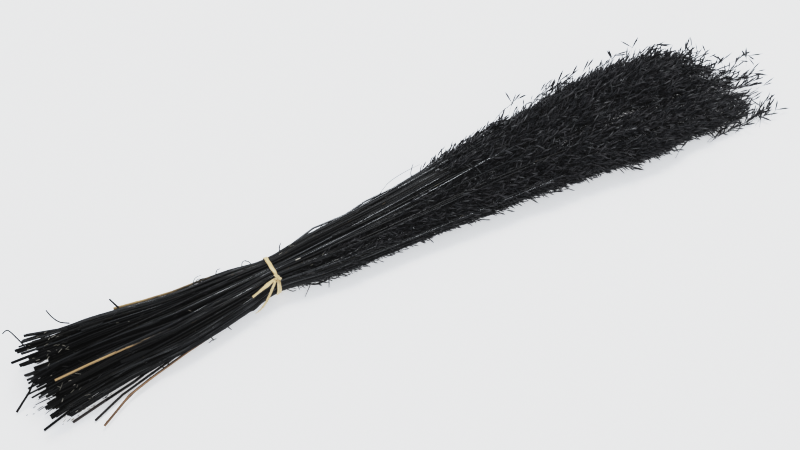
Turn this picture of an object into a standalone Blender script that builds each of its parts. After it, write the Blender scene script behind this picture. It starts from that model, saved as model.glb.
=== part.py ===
"""A bunch of dried, dyed munni grass, tied with one strand of raffia and lying on its side.

Metres, +Z up. +X runs from the cut ends to the seed heads, and -Y is the near side, where the
raffia's tails lie. The origin is on the surface that the bunch lies on, under its middle."""

import math
import random

import bmesh
import bpy
from mathutils import Vector

# Places along the bunch are measured from the plane of the cut ends.
LENGTH = 0.700
CUT_ENDS_X = -0.3320
TIE_AT = 0.2175

# The outline of the sheaf: place along it, half width, half height, height of its middle, and
# how far its middle bends towards the far side.
SHEAF = [
    (0.000, 0.0420, 0.0215, 0.0215, 0.0025),
    (0.060, 0.0365, 0.0205, 0.0212, 0.0035),
    (0.125, 0.0275, 0.0182, 0.0212, 0.0010),
    (0.185, 0.0200, 0.0162, 0.0216, 0.001),
    (TIE_AT, 0.0152, 0.0152, 0.0220, 0.001),
    (0.258, 0.0208, 0.0172, 0.0223, 0.000),
    (0.345, 0.0280, 0.0196, 0.0226, 0.000),
    (0.449, 0.0392, 0.0236, 0.0243, 0.002),
    (0.530, 0.0480, 0.0250, 0.0252, 0.001),
    (0.575, 0.0515, 0.0250, 0.0249, -0.002),
    (0.620, 0.0450, 0.0218, 0.0221, -0.005),
    (0.660, 0.0350, 0.0158, 0.0170, -0.013),
    (LENGTH, 0.0150, 0.0070, 0.0110, -0.023),
]

# The outermost stems stand side by side round the sheaf, all but its underside, which the packed
# stems inside them fill. Turns round the sheaf are 0 on the far side and a quarter on top.
OUTER_STEMS = 32
STEM_TURN = 0.165
UNDERSIDE = math.radians(-90)
CUT_RADIUS = 0.00125
TIE_RADIUS = 0.00098
NECK_RADIUS = 0.00070
TIP_RADIUS = 0.00045
AIR = 0.0004
SHORTEST_STRAW = 0.020

# A splayed stem bends out of the sheaf more and more towards its cut end, so it has more stations
# there, at these distances from the cut.
SPLAY_REACH = 0.150
SPLAY_POWER = 4
SPLAY_STATIONS = (0.016, 0.036)
MARKED_SPLAY = 0.10

# Seed heads swell between their neighbours: shares of the room that a stem has round the sheaf.
HEAD_SHARE = 0.435
LUMP_SHARE = 0.15
HEAD_STEP = 0.030
STRAW_STATIONS = (0.040, 0.095, 0.150, 0.195, TIE_AT, 0.252, 0.300, 0.342)
RIPPLE_SHARE = 0.16
TIP_FLARE = 0.30
TIP_STRETCH = 0.080
THIN_SHARE = 0.25
NEAR_TURN = math.radians(207)
NEAR_HEAD_STARTS = 0.245
FAR_HEAD_STARTS = 0.385
HEAD_RAMP = 0.060

# The far side is cut in two steps, 10 mm short and 4 mm proud of the rest.
FAR_CUT = 0.010
NEXT_CUT = -0.004
LEVEL_CUT = 0.003
CUT_SCATTER = 0.004

# Seed heads end sooner on the far side.
FAR_TIP = 0.640
NEAR_TIP = 0.685
TIP_SCATTER = 0.018

# The packed stems: ridges round the sheaf, and how deep the valleys between them are.
RIDGES = 28
BUTT_VALLEY = 0.0016
TIE_VALLEY = 0.0008
HEAD_VALLEY = 0.0026
PACKED_SECTIONS = (
    0.004, 0.050, 0.100, 0.150, 0.185, TIE_AT, 0.258, 0.300,
    0.350, 0.400, 0.450, 0.500, 0.550, 0.590, 0.620, 0.645,
)
PACKED_BUTT = 0.010
PACKED_END = 0.660
PACKED_AIR = 0.0010
BUTT_RAGGED = 0.004
TIP_RAGGED = 0.030
WAIST = (0.100, 0.300)
UNDERSIDE_HALF_TURN = math.radians(22)
FLAT_DEPTH = 0.004
FLAT_STRETCHES = ((0.0, 0.080), (0.440, 0.600))

# The raffia: a flat strand, its knot on the near upper side, and two tails.
RAFFIA_WIDTH = 0.0043
RAFFIA_THICKNESS = 0.0006
BAND_RADIUS = 0.0160
BAND_STEPS = 28
BAND_SKEW = -0.0010
KNOT_TURN = math.radians(126)
KNOT_AT = TIE_AT - 0.0006
KNOT_SIZE = (0.0034, 0.0030, 0.0019)
TAIL_STEPS = 7
TAIL_ARCH = 0.0016
# Name, length, turn that it ends at in degrees, lift off the stems, width at the knot and the end.
TAILS = (
    ("long_tail", 0.0250, 141, 0.0004, 0.0036, 0.0030),
    ("drooping_tail", 0.0262, 203, 0.0012, 0.0030, 0.0024),
)

# The outer stems that differ from the rest, by their number round the sheaf: name, place of the
# cut end, and how far it is splayed out of the sheaf.
ODD_STEMS = {
    7: ("tan_stem", 0.084, 0.00),
    17: ("golden_stem", 0.016, 0.04),
    26: ("grass_stem_27", 0.014, 0.00),
    27: ("grass_stem_28", 0.015, 0.03),
    28: ("brown_stem_1", 0.036, 0.62),
    29: ("brown_stem_2", 0.031, 0.44),
    30: ("grass_stem_31", 0.014, 0.42),
    31: ("grass_stem_32", -0.010, 0.34),
}

# Stray pieces beside the sheaf: radius at both ends, and points of place along, towards the far
# side, and height.
STRAYS = {
    "stray_stem": (0.00150, 0.00100, [
        (-0.002, 0.005, 0.021), (-0.008, 0.002, 0.015),
        (-0.016, -0.001, 0.009), (-0.024, -0.004, 0.003),
    ]),
    "thin_stalk_1": (0.00045, 0.00045, [
        (0.005, 0.0315, 0.0385), (0.002, 0.0415, 0.0380),
        (-0.002, 0.0510, 0.0385), (-0.007, 0.0490, 0.0410),
    ]),
    "thin_stalk_2": (0.00045, 0.00045, [
        (0.046, 0.0345, 0.0355), (0.039, 0.0395, 0.0355),
        (0.035, 0.0465, 0.0365), (0.033, 0.0533, 0.0385),
    ]),
    "broken_stub": (0.00090, 0.00090, [
        (0.088, 0.0275, 0.0368), (0.086, 0.0320, 0.0386), (0.084, 0.0370, 0.0402),
    ]),
}

BLACK_STEM = (0.014, 0.015, 0.019)
BLACK_HEADS = (0.010, 0.011, 0.013)
GOLDEN = (0.45, 0.29, 0.11)
TAN = (0.38, 0.26, 0.13)
BROWN = (0.13, 0.075, 0.04)
RAFFIA = (0.72, 0.60, 0.38)


def clear_scene():
    for thing in list(bpy.data.objects):
        bpy.data.objects.remove(thing, do_unlink=True)


def new_collection(name):
    made = bpy.data.collections.new(name)
    bpy.context.scene.collection.children.link(made)
    return made


def finish(name, colour, roughness):
    made = bpy.data.materials.new(name)
    made.use_nodes = True
    shader = made.node_tree.nodes["Principled BSDF"]
    shader.inputs["Base Color"].default_value = (*colour, 1.0)
    shader.inputs["Roughness"].default_value = roughness
    shader.inputs["Metallic"].default_value = 0.0
    made.diffuse_color = (*colour, 1.0)
    return made


def sheaf(along):
    """Half width, half height, middle height and bend at a place along the bunch: a cubic
    through the stations."""
    last = len(SHEAF) - 1
    along = min(max(along, SHEAF[0][0]), SHEAF[last][0])
    i = max(k for k in range(last) if SHEAF[k][0] <= along)
    start, end = SHEAF[i], SHEAF[i + 1]
    before, after = SHEAF[max(i - 1, 0)], SHEAF[min(i + 2, last)]
    span = end[0] - start[0]
    t = (along - start[0]) / span
    values = []
    for a, b, c, d in zip(before[1:], start[1:], end[1:], after[1:]):
        leaving = (c - a) / (end[0] - before[0]) * span
        arriving = (d - b) / (after[0] - start[0]) * span
        values.append(
            (2 * t**3 - 3 * t**2 + 1) * b
            + (t**3 - 2 * t**2 + t) * leaving
            + (3 * t**2 - 2 * t**3) * c
            + (t**3 - t**2) * arriving
        )
    return values


def on_sheaf(along, turn, inset=0.0, splay=0.0):
    """A point under the sheaf's outline."""
    half_width, half_height, middle, bend = sheaf(along)
    y = bend + (half_width - inset) * (1 + splay) * math.cos(turn)
    z = middle + (half_height - inset) * (1 + splay) * math.sin(turn)
    return Vector((CUT_ENDS_X + along, y, z))


def room(along, turn):
    """How far apart two outer stems are at this place."""
    half_width, half_height, _, _ = sheaf(along)
    return STEM_TURN * math.hypot(
        half_width * math.sin(turn), half_height * math.cos(turn)
    )


def ramp(value, low, high):
    share = min(max((value - low) / (high - low), 0.0), 1.0)
    return share * share * (3 - 2 * share)


def tube(name, points, radii, material, collection):
    """A round stem through the points, with its own radius at each."""
    curve = bpy.data.curves.new(name, "CURVE")
    curve.dimensions = "3D"
    curve.bevel_depth = 1.0
    curve.bevel_resolution = 1
    curve.use_fill_caps = True
    spline = curve.splines.new("POLY")
    spline.points.add(len(points) - 1)
    for place, point, radius in zip(spline.points, points, radii):
        place.co = (*point, 1.0)
        place.radius = radius
    curve.materials.append(material)
    made = bpy.data.objects.new(name, curve)
    collection.objects.link(made)
    return made


def head_starts(turn):
    """The near side is in seed right from the tie. On top and on the far side the stems are bare
    for longer."""
    near = ramp(math.cos(turn - NEAR_TURN), -0.1, 0.5)
    return FAR_HEAD_STARTS + (NEAR_HEAD_STARTS - FAR_HEAD_STARTS) * near


def stem_radius(along, cut_at):
    """The straw tapers from its cut end to the tie, and on to the neck under the seed head."""
    to_tie = ramp(along, cut_at, TIE_AT)
    to_neck = ramp(along, TIE_AT, FAR_HEAD_STARTS)
    width = CUT_RADIUS + (TIE_RADIUS - CUT_RADIUS) * to_tie
    return width + (NECK_RADIUS - TIE_RADIUS) * to_neck


def outer_stem(name, index, turn, cut_at, tip_at, splay, flare, material, collection):
    """One whole grass plant: its straw from the cut end through the tie, and its seed head."""
    stations = [cut_at]
    if splay > MARKED_SPLAY:
        stations += [cut_at + distance for distance in SPLAY_STATIONS]
    stations += [place for place in STRAW_STATIONS if place > stations[-1] + SHORTEST_STRAW]
    while stations[-1] + 1.5 * HEAD_STEP < tip_at:
        stations.append(stations[-1] + HEAD_STEP)
    stations.append(tip_at)
    starts = head_starts(turn)
    points = []
    radii = []
    for along in stations:
        space = room(along, turn)
        swelling = ramp(along, starts, starts + HEAD_RAMP)
        fullness = 1 - (1 - THIN_SHARE) * ramp(along, (starts + tip_at) / 2, tip_at)
        wave = 1 if (round((along - TIE_AT) / HEAD_STEP) + index) % 2 else -1
        lump = HEAD_SHARE + wave * LUMP_SHARE * ramp(along, TIE_AT, FAR_HEAD_STARTS)
        straw = stem_radius(along, cut_at)
        radius = max(straw * (1 - swelling), lump * space * swelling * fullness, TIP_RADIUS)
        if along == tip_at:
            radius = TIP_RADIUS
        ripple = RIPPLE_SHARE * space * swelling * (index % 2)
        inset = max(straw, (HEAD_SHARE + LUMP_SHARE) * space * swelling - ripple)
        splayed = min(max((SPLAY_REACH - along) / (SPLAY_REACH - cut_at), 0.0), 1.0)
        spread = splay * splayed**SPLAY_POWER
        spread += flare * ramp(along, tip_at - TIP_STRETCH, tip_at)
        point = on_sheaf(along, turn, inset, spread)
        point.z = max(point.z, radius + AIR / 2)
        points.append(point)
        radii.append(radius)
    return tube(name, points, radii, material, collection)


def packed_depth(along, turn, valley):
    """How far the packed stems are inside the outline: flush with it underneath, and under the
    outer stems and their seed heads everywhere else."""
    off_bottom = abs(math.remainder(turn - UNDERSIDE, math.tau))
    if off_bottom < UNDERSIDE_HALF_TURN:
        lies_flat = any(low <= along <= high for low, high in FLAT_STRETCHES)
        return -FLAT_DEPTH if lies_flat else 0.0
    starts = head_starts(turn)
    head = (HEAD_SHARE + LUMP_SHARE) * room(along, turn) * ramp(along, starts, starts + HEAD_RAMP)
    depth = PACKED_AIR + 2 * max(stem_radius(along, 0.0), head)
    if valley:
        waist = ramp(along, WAIST[0], TIE_AT) * (1 - ramp(along, TIE_AT, WAIST[1]))
        open_valley = BUTT_VALLEY if along < TIE_AT else HEAD_VALLEY
        depth += open_valley + (TIE_VALLEY - open_valley) * waist
    return depth


def packed_grass(material, collection):
    """The stems inside the outer ones, as one ridged solid from the cut ends to the last tips."""
    mesh = bmesh.new()
    corners = 2 * RIDGES
    ragged = random.Random(5)
    rings = []
    for along in PACKED_SECTIONS:
        ring = []
        for corner in range(corners):
            turn = UNDERSIDE + corner * math.tau / corners
            valley = corner % 2 == 1
            shift = 0.0
            if along == PACKED_SECTIONS[0]:
                shift = ragged.uniform(-BUTT_RAGGED, BUTT_RAGGED)
            elif along == PACKED_SECTIONS[-1]:
                shift = ragged.uniform(0.0, TIP_RAGGED) * (0.3 if valley else 1.0)
            point = on_sheaf(along + shift, turn, packed_depth(along, turn, valley))
            point.z = max(point.z, 0.0)
            ring.append(mesh.verts.new(point))
        rings.append(ring)
    for ring, following in zip(rings, rings[1:]):
        for k in range(corners):
            n = (k + 1) % corners
            mesh.faces.new((ring[k], following[k], following[n], ring[n]))
    for ring, at in ((rings[0], PACKED_BUTT), (rings[-1], PACKED_END)):
        middle = mesh.verts.new(on_sheaf(at, 0.0, sheaf(at)[0]))
        for k in range(corners):
            n = (k + 1) % corners
            mesh.faces.new((middle, ring[k], ring[n]))
    bmesh.ops.recalc_face_normals(mesh, faces=mesh.faces)
    data = bpy.data.meshes.new("packed_grass")
    mesh.to_mesh(data)
    mesh.free()
    data.materials.append(material)
    made = bpy.data.objects.new("packed_grass", data)
    collection.objects.link(made)
    return made


def ribbon(name, points, outwards, widths, closed, collection):
    """A flat strand along the points, lying square to the outward directions."""
    mesh = bmesh.new()
    rows = []
    count = len(points)
    for k, (point, outward, width) in enumerate(zip(points, outwards, widths)):
        after = points[(k + 1) % count] if closed or k < count - 1 else point
        before = points[k - 1] if closed or k else point
        across = outward.cross(after - before).normalized() * width / 2
        rows.append((mesh.verts.new(point - across), mesh.verts.new(point + across)))
    pairs = list(zip(rows, rows[1:]))
    if closed:
        pairs.append((rows[-1], rows[0]))
    for (left, right), (next_left, next_right) in pairs:
        mesh.faces.new((left, next_left, next_right, right))
    data = bpy.data.meshes.new(name)
    mesh.to_mesh(data)
    mesh.free()
    made = bpy.data.objects.new(name, data)
    collection.objects.link(made)
    wall = made.modifiers.new("thickness", "SOLIDIFY")
    wall.thickness = RAFFIA_THICKNESS
    wall.offset = 0.0
    return made


def round_the_tie(turn, along, radius):
    _, _, middle, bend = sheaf(TIE_AT)
    return Vector((
        CUT_ENDS_X + along,
        bend + radius * math.cos(turn),
        middle + radius * math.sin(turn),
    ))


def outward_at(turn):
    return Vector((0.0, math.cos(turn), math.sin(turn)))


def tail(name, length, end_turn, lift, start_width, end_width, collection):
    """A free end of the strand, from the knot back over the stems towards the cut ends."""
    points = []
    outwards = []
    widths = []
    for k in range(TAIL_STEPS):
        share = k / (TAIL_STEPS - 1)
        turn = KNOT_TURN + (end_turn - KNOT_TURN) * share**0.8
        arch = TAIL_ARCH * math.sin(math.pi * share)
        clear = RAFFIA_THICKNESS + AIR + arch + lift * share
        points.append(on_sheaf(KNOT_AT - length * share, turn, -clear))
        outwards.append(outward_at(turn))
        widths.append(start_width + (end_width - start_width) * share)
    return ribbon(name, points, outwards, widths, False, collection)


def raffia_tie(material, collection, helpers):
    """One strand: the band, its knot and both tails, joined."""
    turns = [KNOT_TURN + k * math.tau / BAND_STEPS for k in range(BAND_STEPS)]
    points = []
    for turn in turns:
        skew = BAND_SKEW * (math.cos(turn - KNOT_TURN) - 0.4)
        points.append(round_the_tie(turn, TIE_AT + skew, BAND_RADIUS))
    outwards = [outward_at(turn) for turn in turns]
    band = ribbon("raffia_tie", points, outwards, [RAFFIA_WIDTH] * BAND_STEPS, True, collection)
    band.data.materials.append(material)
    tails = [
        tail(name, length, math.radians(end_turn), lift, start_width, end_width, helpers)
        for name, length, end_turn, lift, start_width, end_width in TAILS
    ]
    bpy.ops.mesh.primitive_uv_sphere_add(segments=12, ring_count=8, radius=1.0)
    knot = bpy.context.active_object
    knot.name = "knot"
    knot.scale = KNOT_SIZE
    knot.location = round_the_tie(KNOT_TURN, KNOT_AT, BAND_RADIUS + KNOT_SIZE[2])
    knot.rotation_euler = (KNOT_TURN - math.pi / 2, 0.0, 0.0)
    for owner in list(knot.users_collection):
        owner.objects.unlink(knot)
    helpers.objects.link(knot)
    for piece in (knot, *tails):
        piece.hide_render = True
        piece.display_type = "WIRE"
        join = band.modifiers.new("join " + piece.name, "BOOLEAN")
        join.operation = "UNION"
        join.object = piece
    return band


def cut_place(turn, scatter):
    """Where an outer stem was cut."""
    if math.cos(turn) > 0.80:
        level = FAR_CUT
    elif math.cos(turn) > 0.35:
        level = NEXT_CUT
    else:
        level = LEVEL_CUT
    return level + scatter.uniform(-CUT_SCATTER, CUT_SCATTER)


def tip_place(turn, scatter):
    """Where an outer stem's seed head ends."""
    near = 0.5 + 0.5 * math.cos(turn - NEAR_TURN)
    return FAR_TIP + (NEAR_TIP - FAR_TIP) * near + scatter.uniform(-TIP_SCATTER, TIP_SCATTER)


def main():
    clear_scene()
    bunch = new_collection("munni_grass_bunch")
    helpers = new_collection("helpers")
    black = finish("dyed_stem", BLACK_STEM, 0.55)
    finishes = {
        "tan_stem": finish("tan_straw", TAN, 0.6),
        "golden_stem": finish("golden_straw", GOLDEN, 0.5),
        "brown_stem_1": finish("brown_straw", BROWN, 0.6),
        "brown_stem_2": finish("dark_brown_straw", BROWN, 0.6),
    }
    packed_grass(finish("dyed_heads", BLACK_HEADS, 0.8), bunch)
    scatter = random.Random(11)
    first = UNDERSIDE + math.pi - (OUTER_STEMS - 1) / 2 * STEM_TURN
    for index in range(OUTER_STEMS):
        turn = first + index * STEM_TURN
        cut_at = cut_place(turn, scatter)
        tip_at = tip_place(turn, scatter)
        name, cut_at, splay = ODD_STEMS.get(index, (f"grass_stem_{index + 1:02d}", cut_at, 0.0))
        flare = scatter.uniform(0.0, TIP_FLARE)
        colour = finishes.get(name, black)
        outer_stem(name, index, turn, cut_at, tip_at, splay, flare, colour, bunch)
    for name, (start_radius, end_radius, places) in STRAYS.items():
        points = [Vector((CUT_ENDS_X + along, side, height)) for along, side, height in places]
        last = len(points) - 1
        radii = [start_radius + (end_radius - start_radius) * k / last for k in range(last + 1)]
        tube(name, points, radii, black, bunch)
    raffia_tie(finish("raffia", RAFFIA, 0.6), bunch, helpers)


main()
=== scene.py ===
import math
import random

import bpy
import numpy as np
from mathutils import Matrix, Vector


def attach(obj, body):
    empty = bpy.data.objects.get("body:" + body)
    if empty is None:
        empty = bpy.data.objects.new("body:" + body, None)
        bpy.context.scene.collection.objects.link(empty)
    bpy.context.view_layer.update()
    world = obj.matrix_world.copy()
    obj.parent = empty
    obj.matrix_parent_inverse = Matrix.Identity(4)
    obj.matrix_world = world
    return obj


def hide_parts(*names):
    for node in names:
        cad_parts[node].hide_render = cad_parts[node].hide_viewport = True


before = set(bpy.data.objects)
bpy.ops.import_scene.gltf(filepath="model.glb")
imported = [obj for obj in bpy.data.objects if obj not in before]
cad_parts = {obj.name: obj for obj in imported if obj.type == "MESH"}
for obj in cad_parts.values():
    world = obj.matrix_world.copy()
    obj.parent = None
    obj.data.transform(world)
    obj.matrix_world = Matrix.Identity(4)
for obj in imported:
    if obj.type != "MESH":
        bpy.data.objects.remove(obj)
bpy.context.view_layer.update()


# Camera. It looks down on the bunch from over the near side of the cut ends, so that the bunch
# rises to the right across the picture.
CAMERA_TURN = math.radians(-27.9)
CAMERA_RISE = math.radians(63)
CAMERA_DISTANCE = 1.35
CAMERA_LENS = 69.3
CAMERA_SEES = (0.05, 60.0)
CAMERA_AIM = Vector((0.0057, -0.0065, 0.0200))

to_camera = Vector((
    math.sin(CAMERA_TURN) * math.cos(CAMERA_RISE),
    -math.cos(CAMERA_TURN) * math.cos(CAMERA_RISE),
    math.sin(CAMERA_RISE),
))
bpy.ops.object.camera_add(location=CAMERA_AIM + to_camera * CAMERA_DISTANCE)
camera = bpy.context.active_object
camera.rotation_mode = "QUATERNION"
camera.rotation_quaternion = (-to_camera).to_track_quat("-Z", "Y")
camera.data.lens = CAMERA_LENS
camera.data.clip_start, camera.data.clip_end = CAMERA_SEES
bpy.context.scene.camera = camera


# Table top and light. The bunch lies on a plain white sheet, under one broad soft light above its
# far side, with a little light from all round. The sheet also glows a little, which is painted light
# that fills in the shadow the bunch casts on it.
SHEET_SIZE = 16.0
SHEET_COLOUR = (0.800, 0.806, 0.828)
SHEET_GLOW = 0.30
SHEET_ROUGHNESS = 0.9
LIGHT_SIZE = 0.66
LIGHT_POWER = 15.2
LIGHT_PLACE = Vector((0.52, 0.52, 2.05))
LIGHT_COLOUR = (0.95, 0.98, 1.0)
ROOM_COLOUR = (0.88, 0.94, 1.0)
ROOM_STRENGTH = 0.535

# The camera's response: it lifts black a little and flattens the bright sheet.
BLACK_SHOWS = 0.0032
WHITE_SHOWS = 0.815
RESPONSE = ((0.02, 0.016), (0.08, 0.075), (0.25, 0.37), (0.42, 0.62), (0.62, 0.755), (0.80, 0.795))


def new_finish(name, colour, roughness):
    """A finish with one shader, and the tree of nodes to build on."""
    made = bpy.data.materials.new(name)
    made.use_nodes = True
    shader = made.node_tree.nodes["Principled BSDF"]
    shader.inputs["Base Color"].default_value = (*colour, 1.0)
    shader.inputs["Roughness"].default_value = roughness
    made.diffuse_color = (*colour, 1.0)
    return made, shader, made.node_tree


bpy.ops.mesh.primitive_plane_add(size=SHEET_SIZE, location=(0.0, 0.0, 0.0))
sheet = bpy.context.active_object
sheet.name = "white_sheet"
sheet_finish, sheet_shader, _ = new_finish("white_sheet", SHEET_COLOUR, SHEET_ROUGHNESS)
# Painted light: the sheet glows, so the bunch's shadow on it stays faint.
sheet_shader.inputs["Emission Color"].default_value = (1.0, 1.0, 1.0, 1.0)
sheet_shader.inputs["Emission Strength"].default_value = SHEET_GLOW
sheet.data.materials.append(sheet_finish)

bpy.ops.object.light_add(type="AREA", location=LIGHT_PLACE)
lamp = bpy.context.active_object
lamp.name = "soft_light"
lamp.data.shape = "DISK"
lamp.data.size = LIGHT_SIZE
lamp.data.energy = LIGHT_POWER
lamp.data.color = LIGHT_COLOUR
lamp.rotation_mode = "QUATERNION"
lamp.rotation_quaternion = (-LIGHT_PLACE).to_track_quat("-Z", "Y")

room_light = bpy.data.worlds.new("room")
room_light.use_nodes = True
room_shader = room_light.node_tree.nodes["Background"]
room_shader.inputs["Color"].default_value = (*ROOM_COLOUR, 1.0)
room_shader.inputs["Strength"].default_value = ROOM_STRENGTH
bpy.context.scene.world = room_light
response = bpy.context.scene.view_settings
response.view_transform = "Standard"
response.use_curve_mapping = True
_, _, _, tones = response.curve_mapping.curves
tones.points[0].location = (0.0, BLACK_SHOWS)
tones.points[-1].location = (1.0, WHITE_SHOWS)
for dark, light in RESPONSE:
    tones.points.new(dark, light)
response.curve_mapping.update()


# Straws. Each is one dried grass stem: a thin tube, cut off square and hollow at the butt, that
# thickens at its joints, runs through the tie and thins out into its seed head. They were dyed
# black in one bath, so the dye is thin in streaks and bluish where it is thick.
CUT_ENDS_X = -0.3320
TIE_AT = 0.2175
LENGTH = 0.700

# The sheaf: place along it, half width, half height, height of its middle, and how far its middle
# bends towards the far side.
SHEAF = np.array([
    (0.000, 0.0420, 0.0215, 0.0215, 0.0025),
    (0.060, 0.0365, 0.0205, 0.0212, 0.0035),
    (0.125, 0.0275, 0.0182, 0.0212, 0.0010),
    (0.185, 0.0200, 0.0162, 0.0216, 0.001),
    (TIE_AT, 0.0152, 0.0152, 0.0220, 0.001),
    (0.258, 0.0208, 0.0172, 0.0223, 0.000),
    (0.345, 0.0280, 0.0196, 0.0226, 0.000),
    (0.449, 0.0392, 0.0236, 0.0243, 0.002),
    (0.530, 0.0480, 0.0250, 0.0252, 0.001),
    (0.575, 0.0515, 0.0250, 0.0249, -0.002),
    (0.620, 0.0450, 0.0218, 0.0221, -0.005),
    (0.660, 0.0350, 0.0158, 0.0170, -0.013),
    (LENGTH, 0.0150, 0.0070, 0.0110, -0.023),
])

OUTER_STRAWS = 38
RING_SOLIDS = 32
STRAW_TURN = 0.165
FIRST_TURN = math.radians(90) - (RING_SOLIDS - 1) / 2 * STRAW_TURN
CUT_RADIUS = 0.00125
TIE_RADIUS = 0.00098
NECK_RADIUS = 0.00070
TIP_RADIUS = 0.00028
NEAR_TURN = math.radians(207)
NEAR_HEAD_STARTS = 0.245
FAR_HEAD_STARTS = 0.385
HEAD_RAMP = 0.060
HEAD_SINK = 0.0055
FAR_SINK = 0.0050
FAR_SINK_TURN = math.radians(55)
SPLAY_REACH = 0.150
SPLAY_POWER = 4
TIP_FLARE = 0.30
TIP_STRETCH = 0.080
FAR_CUT = 0.010
NEXT_CUT = -0.004
LEVEL_CUT = 0.003
CUT_SCATTER = 0.004
FAR_SHORTER = 0.013
NEAR_SHORTER = 0.011
FAR_TIP = 0.640
NEAR_TIP = 0.685
TIP_SCATTER = 0.018
FLOOR_GAP = 0.0002

# On the far side the bunch is a little hollow between its ends and the tie, and past the tie: how
# deep, and from where to where along it.
HOLLOWS = ((0.0045, 0.000, 0.035, 0.125, 0.205), (0.0024, 0.235, 0.290, 0.420, 0.500))
# On the near side only the loose straws keep to the outside by the cut ends. The rest stand back.
SET_BACK = (0.0055, -0.030, 0.020, 0.070, 0.130)

# The inner straws stand in rings round the middle one: how many, and the ring's share of the way
# out at the tie.
INNER_RINGS = ((38, 0.81), (30, 0.65), (22, 0.50), (15, 0.34), (7, 0.18), (1, 0.0))
CROSSING_STRAWS = 60
LOWEST_STRAWS = 18

STRAW_SIDES = 8
STRAW_CUTS = 33
TIE_RINGS = (-0.010, 0.0, 0.010)
JOINTS = (0.085, 0.180, 0.330)
JOINT_SCATTER = 0.030
JOINT_SWELL = 0.20
JOINT_LENGTH = 0.0016
FIRST_JOINT = 0.012
BORE_ENDS = 0.004
RUN_STEP = 0.0008
STRAW_CREASE = math.radians(50)
FARTHEST = 0.80
FAR = 0.35
INNER_TIP = 0.662
INNER_NEAR_LONGER = 0.008

# A straw that lies over the others rises onto them on both sides of the tie, until the heads
# begin. All of them sway a little.
LEAST_OVER = 0.35
OVER_FROM = (0.010, 0.055)
OVER_UNTIL = (0.32, 0.44)
HEAD_REACH = 0.45
SWAY_RATE = 21.0
RING_SHARE = 0.95
INNER_LIMIT = 0.92
NEAR_HEADS = (-0.55, 0.05)

# Straws that differ from the rest of the outer ring: name, place of the cut end, and splay.
TAN, FAR_BOWED, GOLDEN, BROWN_1, BROWN_2, WARM = 7, (8, 9), 17, 28, 29, 30
ODD_STRAWS = {
    TAN: ("tan_stem", 0.084, 0.00),
    GOLDEN: ("golden_stem", 0.016, 0.04),
    26: ("grass_stem_27", 0.014, 0.00),
    27: ("grass_stem_28", 0.015, 0.03),
    BROWN_1: ("brown_stem_1", 0.036, 0.53),
    BROWN_2: ("brown_stem_2", 0.031, 0.40),
    WARM: ("grass_stem_31", 0.014, 0.42),
    31: ("grass_stem_32", -0.010, 0.34),
}


def sheaf(along):
    """Half width, half height, height of the middle and bend, at places along the bunch."""
    places, last = SHEAF[:, 0], len(SHEAF) - 1
    along = np.clip(along, places[0], places[-1])
    low = np.clip(np.searchsorted(places, along, side="right") - 1, 0, last - 1)
    before, high, after = np.maximum(low - 1, 0), low + 1, np.minimum(low + 2, last)
    span = places[high] - places[low]
    t = (along - places[low]) / span
    values = []
    for column in SHEAF.T[1:]:
        leaving = (column[high] - column[before]) / (places[high] - places[before]) * span
        arriving = (column[after] - column[low]) / (places[after] - places[low]) * span
        values.append(
            (2 * t**3 - 3 * t**2 + 1) * column[low]
            + (t**3 - 2 * t**2 + t) * leaving
            + (3 * t**2 - 2 * t**3) * column[high]
            + (t**3 - t**2) * arriving
        )
    return values


def ramp(value, low, high):
    share = np.clip((value - low) / (high - low), 0.0, 1.0)
    return share * share * (3 - 2 * share)


def head_starts(turn):
    """The near side is in seed right from the tie. On top and on the far side the straws are bare
    for longer."""
    near = ramp(np.cos(turn - NEAR_TURN), *NEAR_HEADS)
    return FAR_HEAD_STARTS + (NEAR_HEAD_STARTS - FAR_HEAD_STARTS) * near


class Straws:
    """Some straws of the bunch, with one value each for every way in which they differ."""

    COLUMNS = (
        "turn", "share", "cut_at", "tip_at", "seeds_from", "thick", "splay", "flare", "over",
        "butt_drift", "head_drift", "butt_share", "head_share", "sway", "phase",
        "bow", "bow_from", "bow_to", "within", "tint",
    )

    def __init__(self, count, **values):
        for column in self.COLUMNS:
            given = values.get(column, 0.0)
            setattr(self, column, np.broadcast_to(np.asarray(given, float), (count,)).copy())
        self.count = count

    def chosen(self, rows):
        return Straws(len(rows), **{column: getattr(self, column)[rows] for column in self.COLUMNS})

    def with_all(self, *others):
        groups = (self, *others)
        joined_columns = {
            column: np.concatenate([getattr(group, column) for group in groups])
            for column in self.COLUMNS
        }
        return Straws(sum(group.count for group in groups), **joined_columns)


def straw_radius(straws, along):
    """A straw tapers from its cut end to the tie, to the neck under its seed head, and to its tip."""
    column = (slice(None),) + (None,) * (along.ndim - 1)
    to_tie = ramp(along, straws.cut_at[column], TIE_AT)
    to_neck = ramp(along, TIE_AT, FAR_HEAD_STARTS)
    to_tip = ramp(along, straws.seeds_from[column], straws.tip_at[column])
    width = CUT_RADIUS + (TIE_RADIUS - CUT_RADIUS) * to_tie
    width = width + (NECK_RADIUS - TIE_RADIUS) * to_neck
    return (width + (TIP_RADIUS - width) * to_tip) * straws.thick[column]


def fading(along, depth, start, full, fades, end):
    """How deep a hollow is, at places along the bunch."""
    return depth * ramp(along, start, full) * (1 - ramp(along, fades, end))


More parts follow.
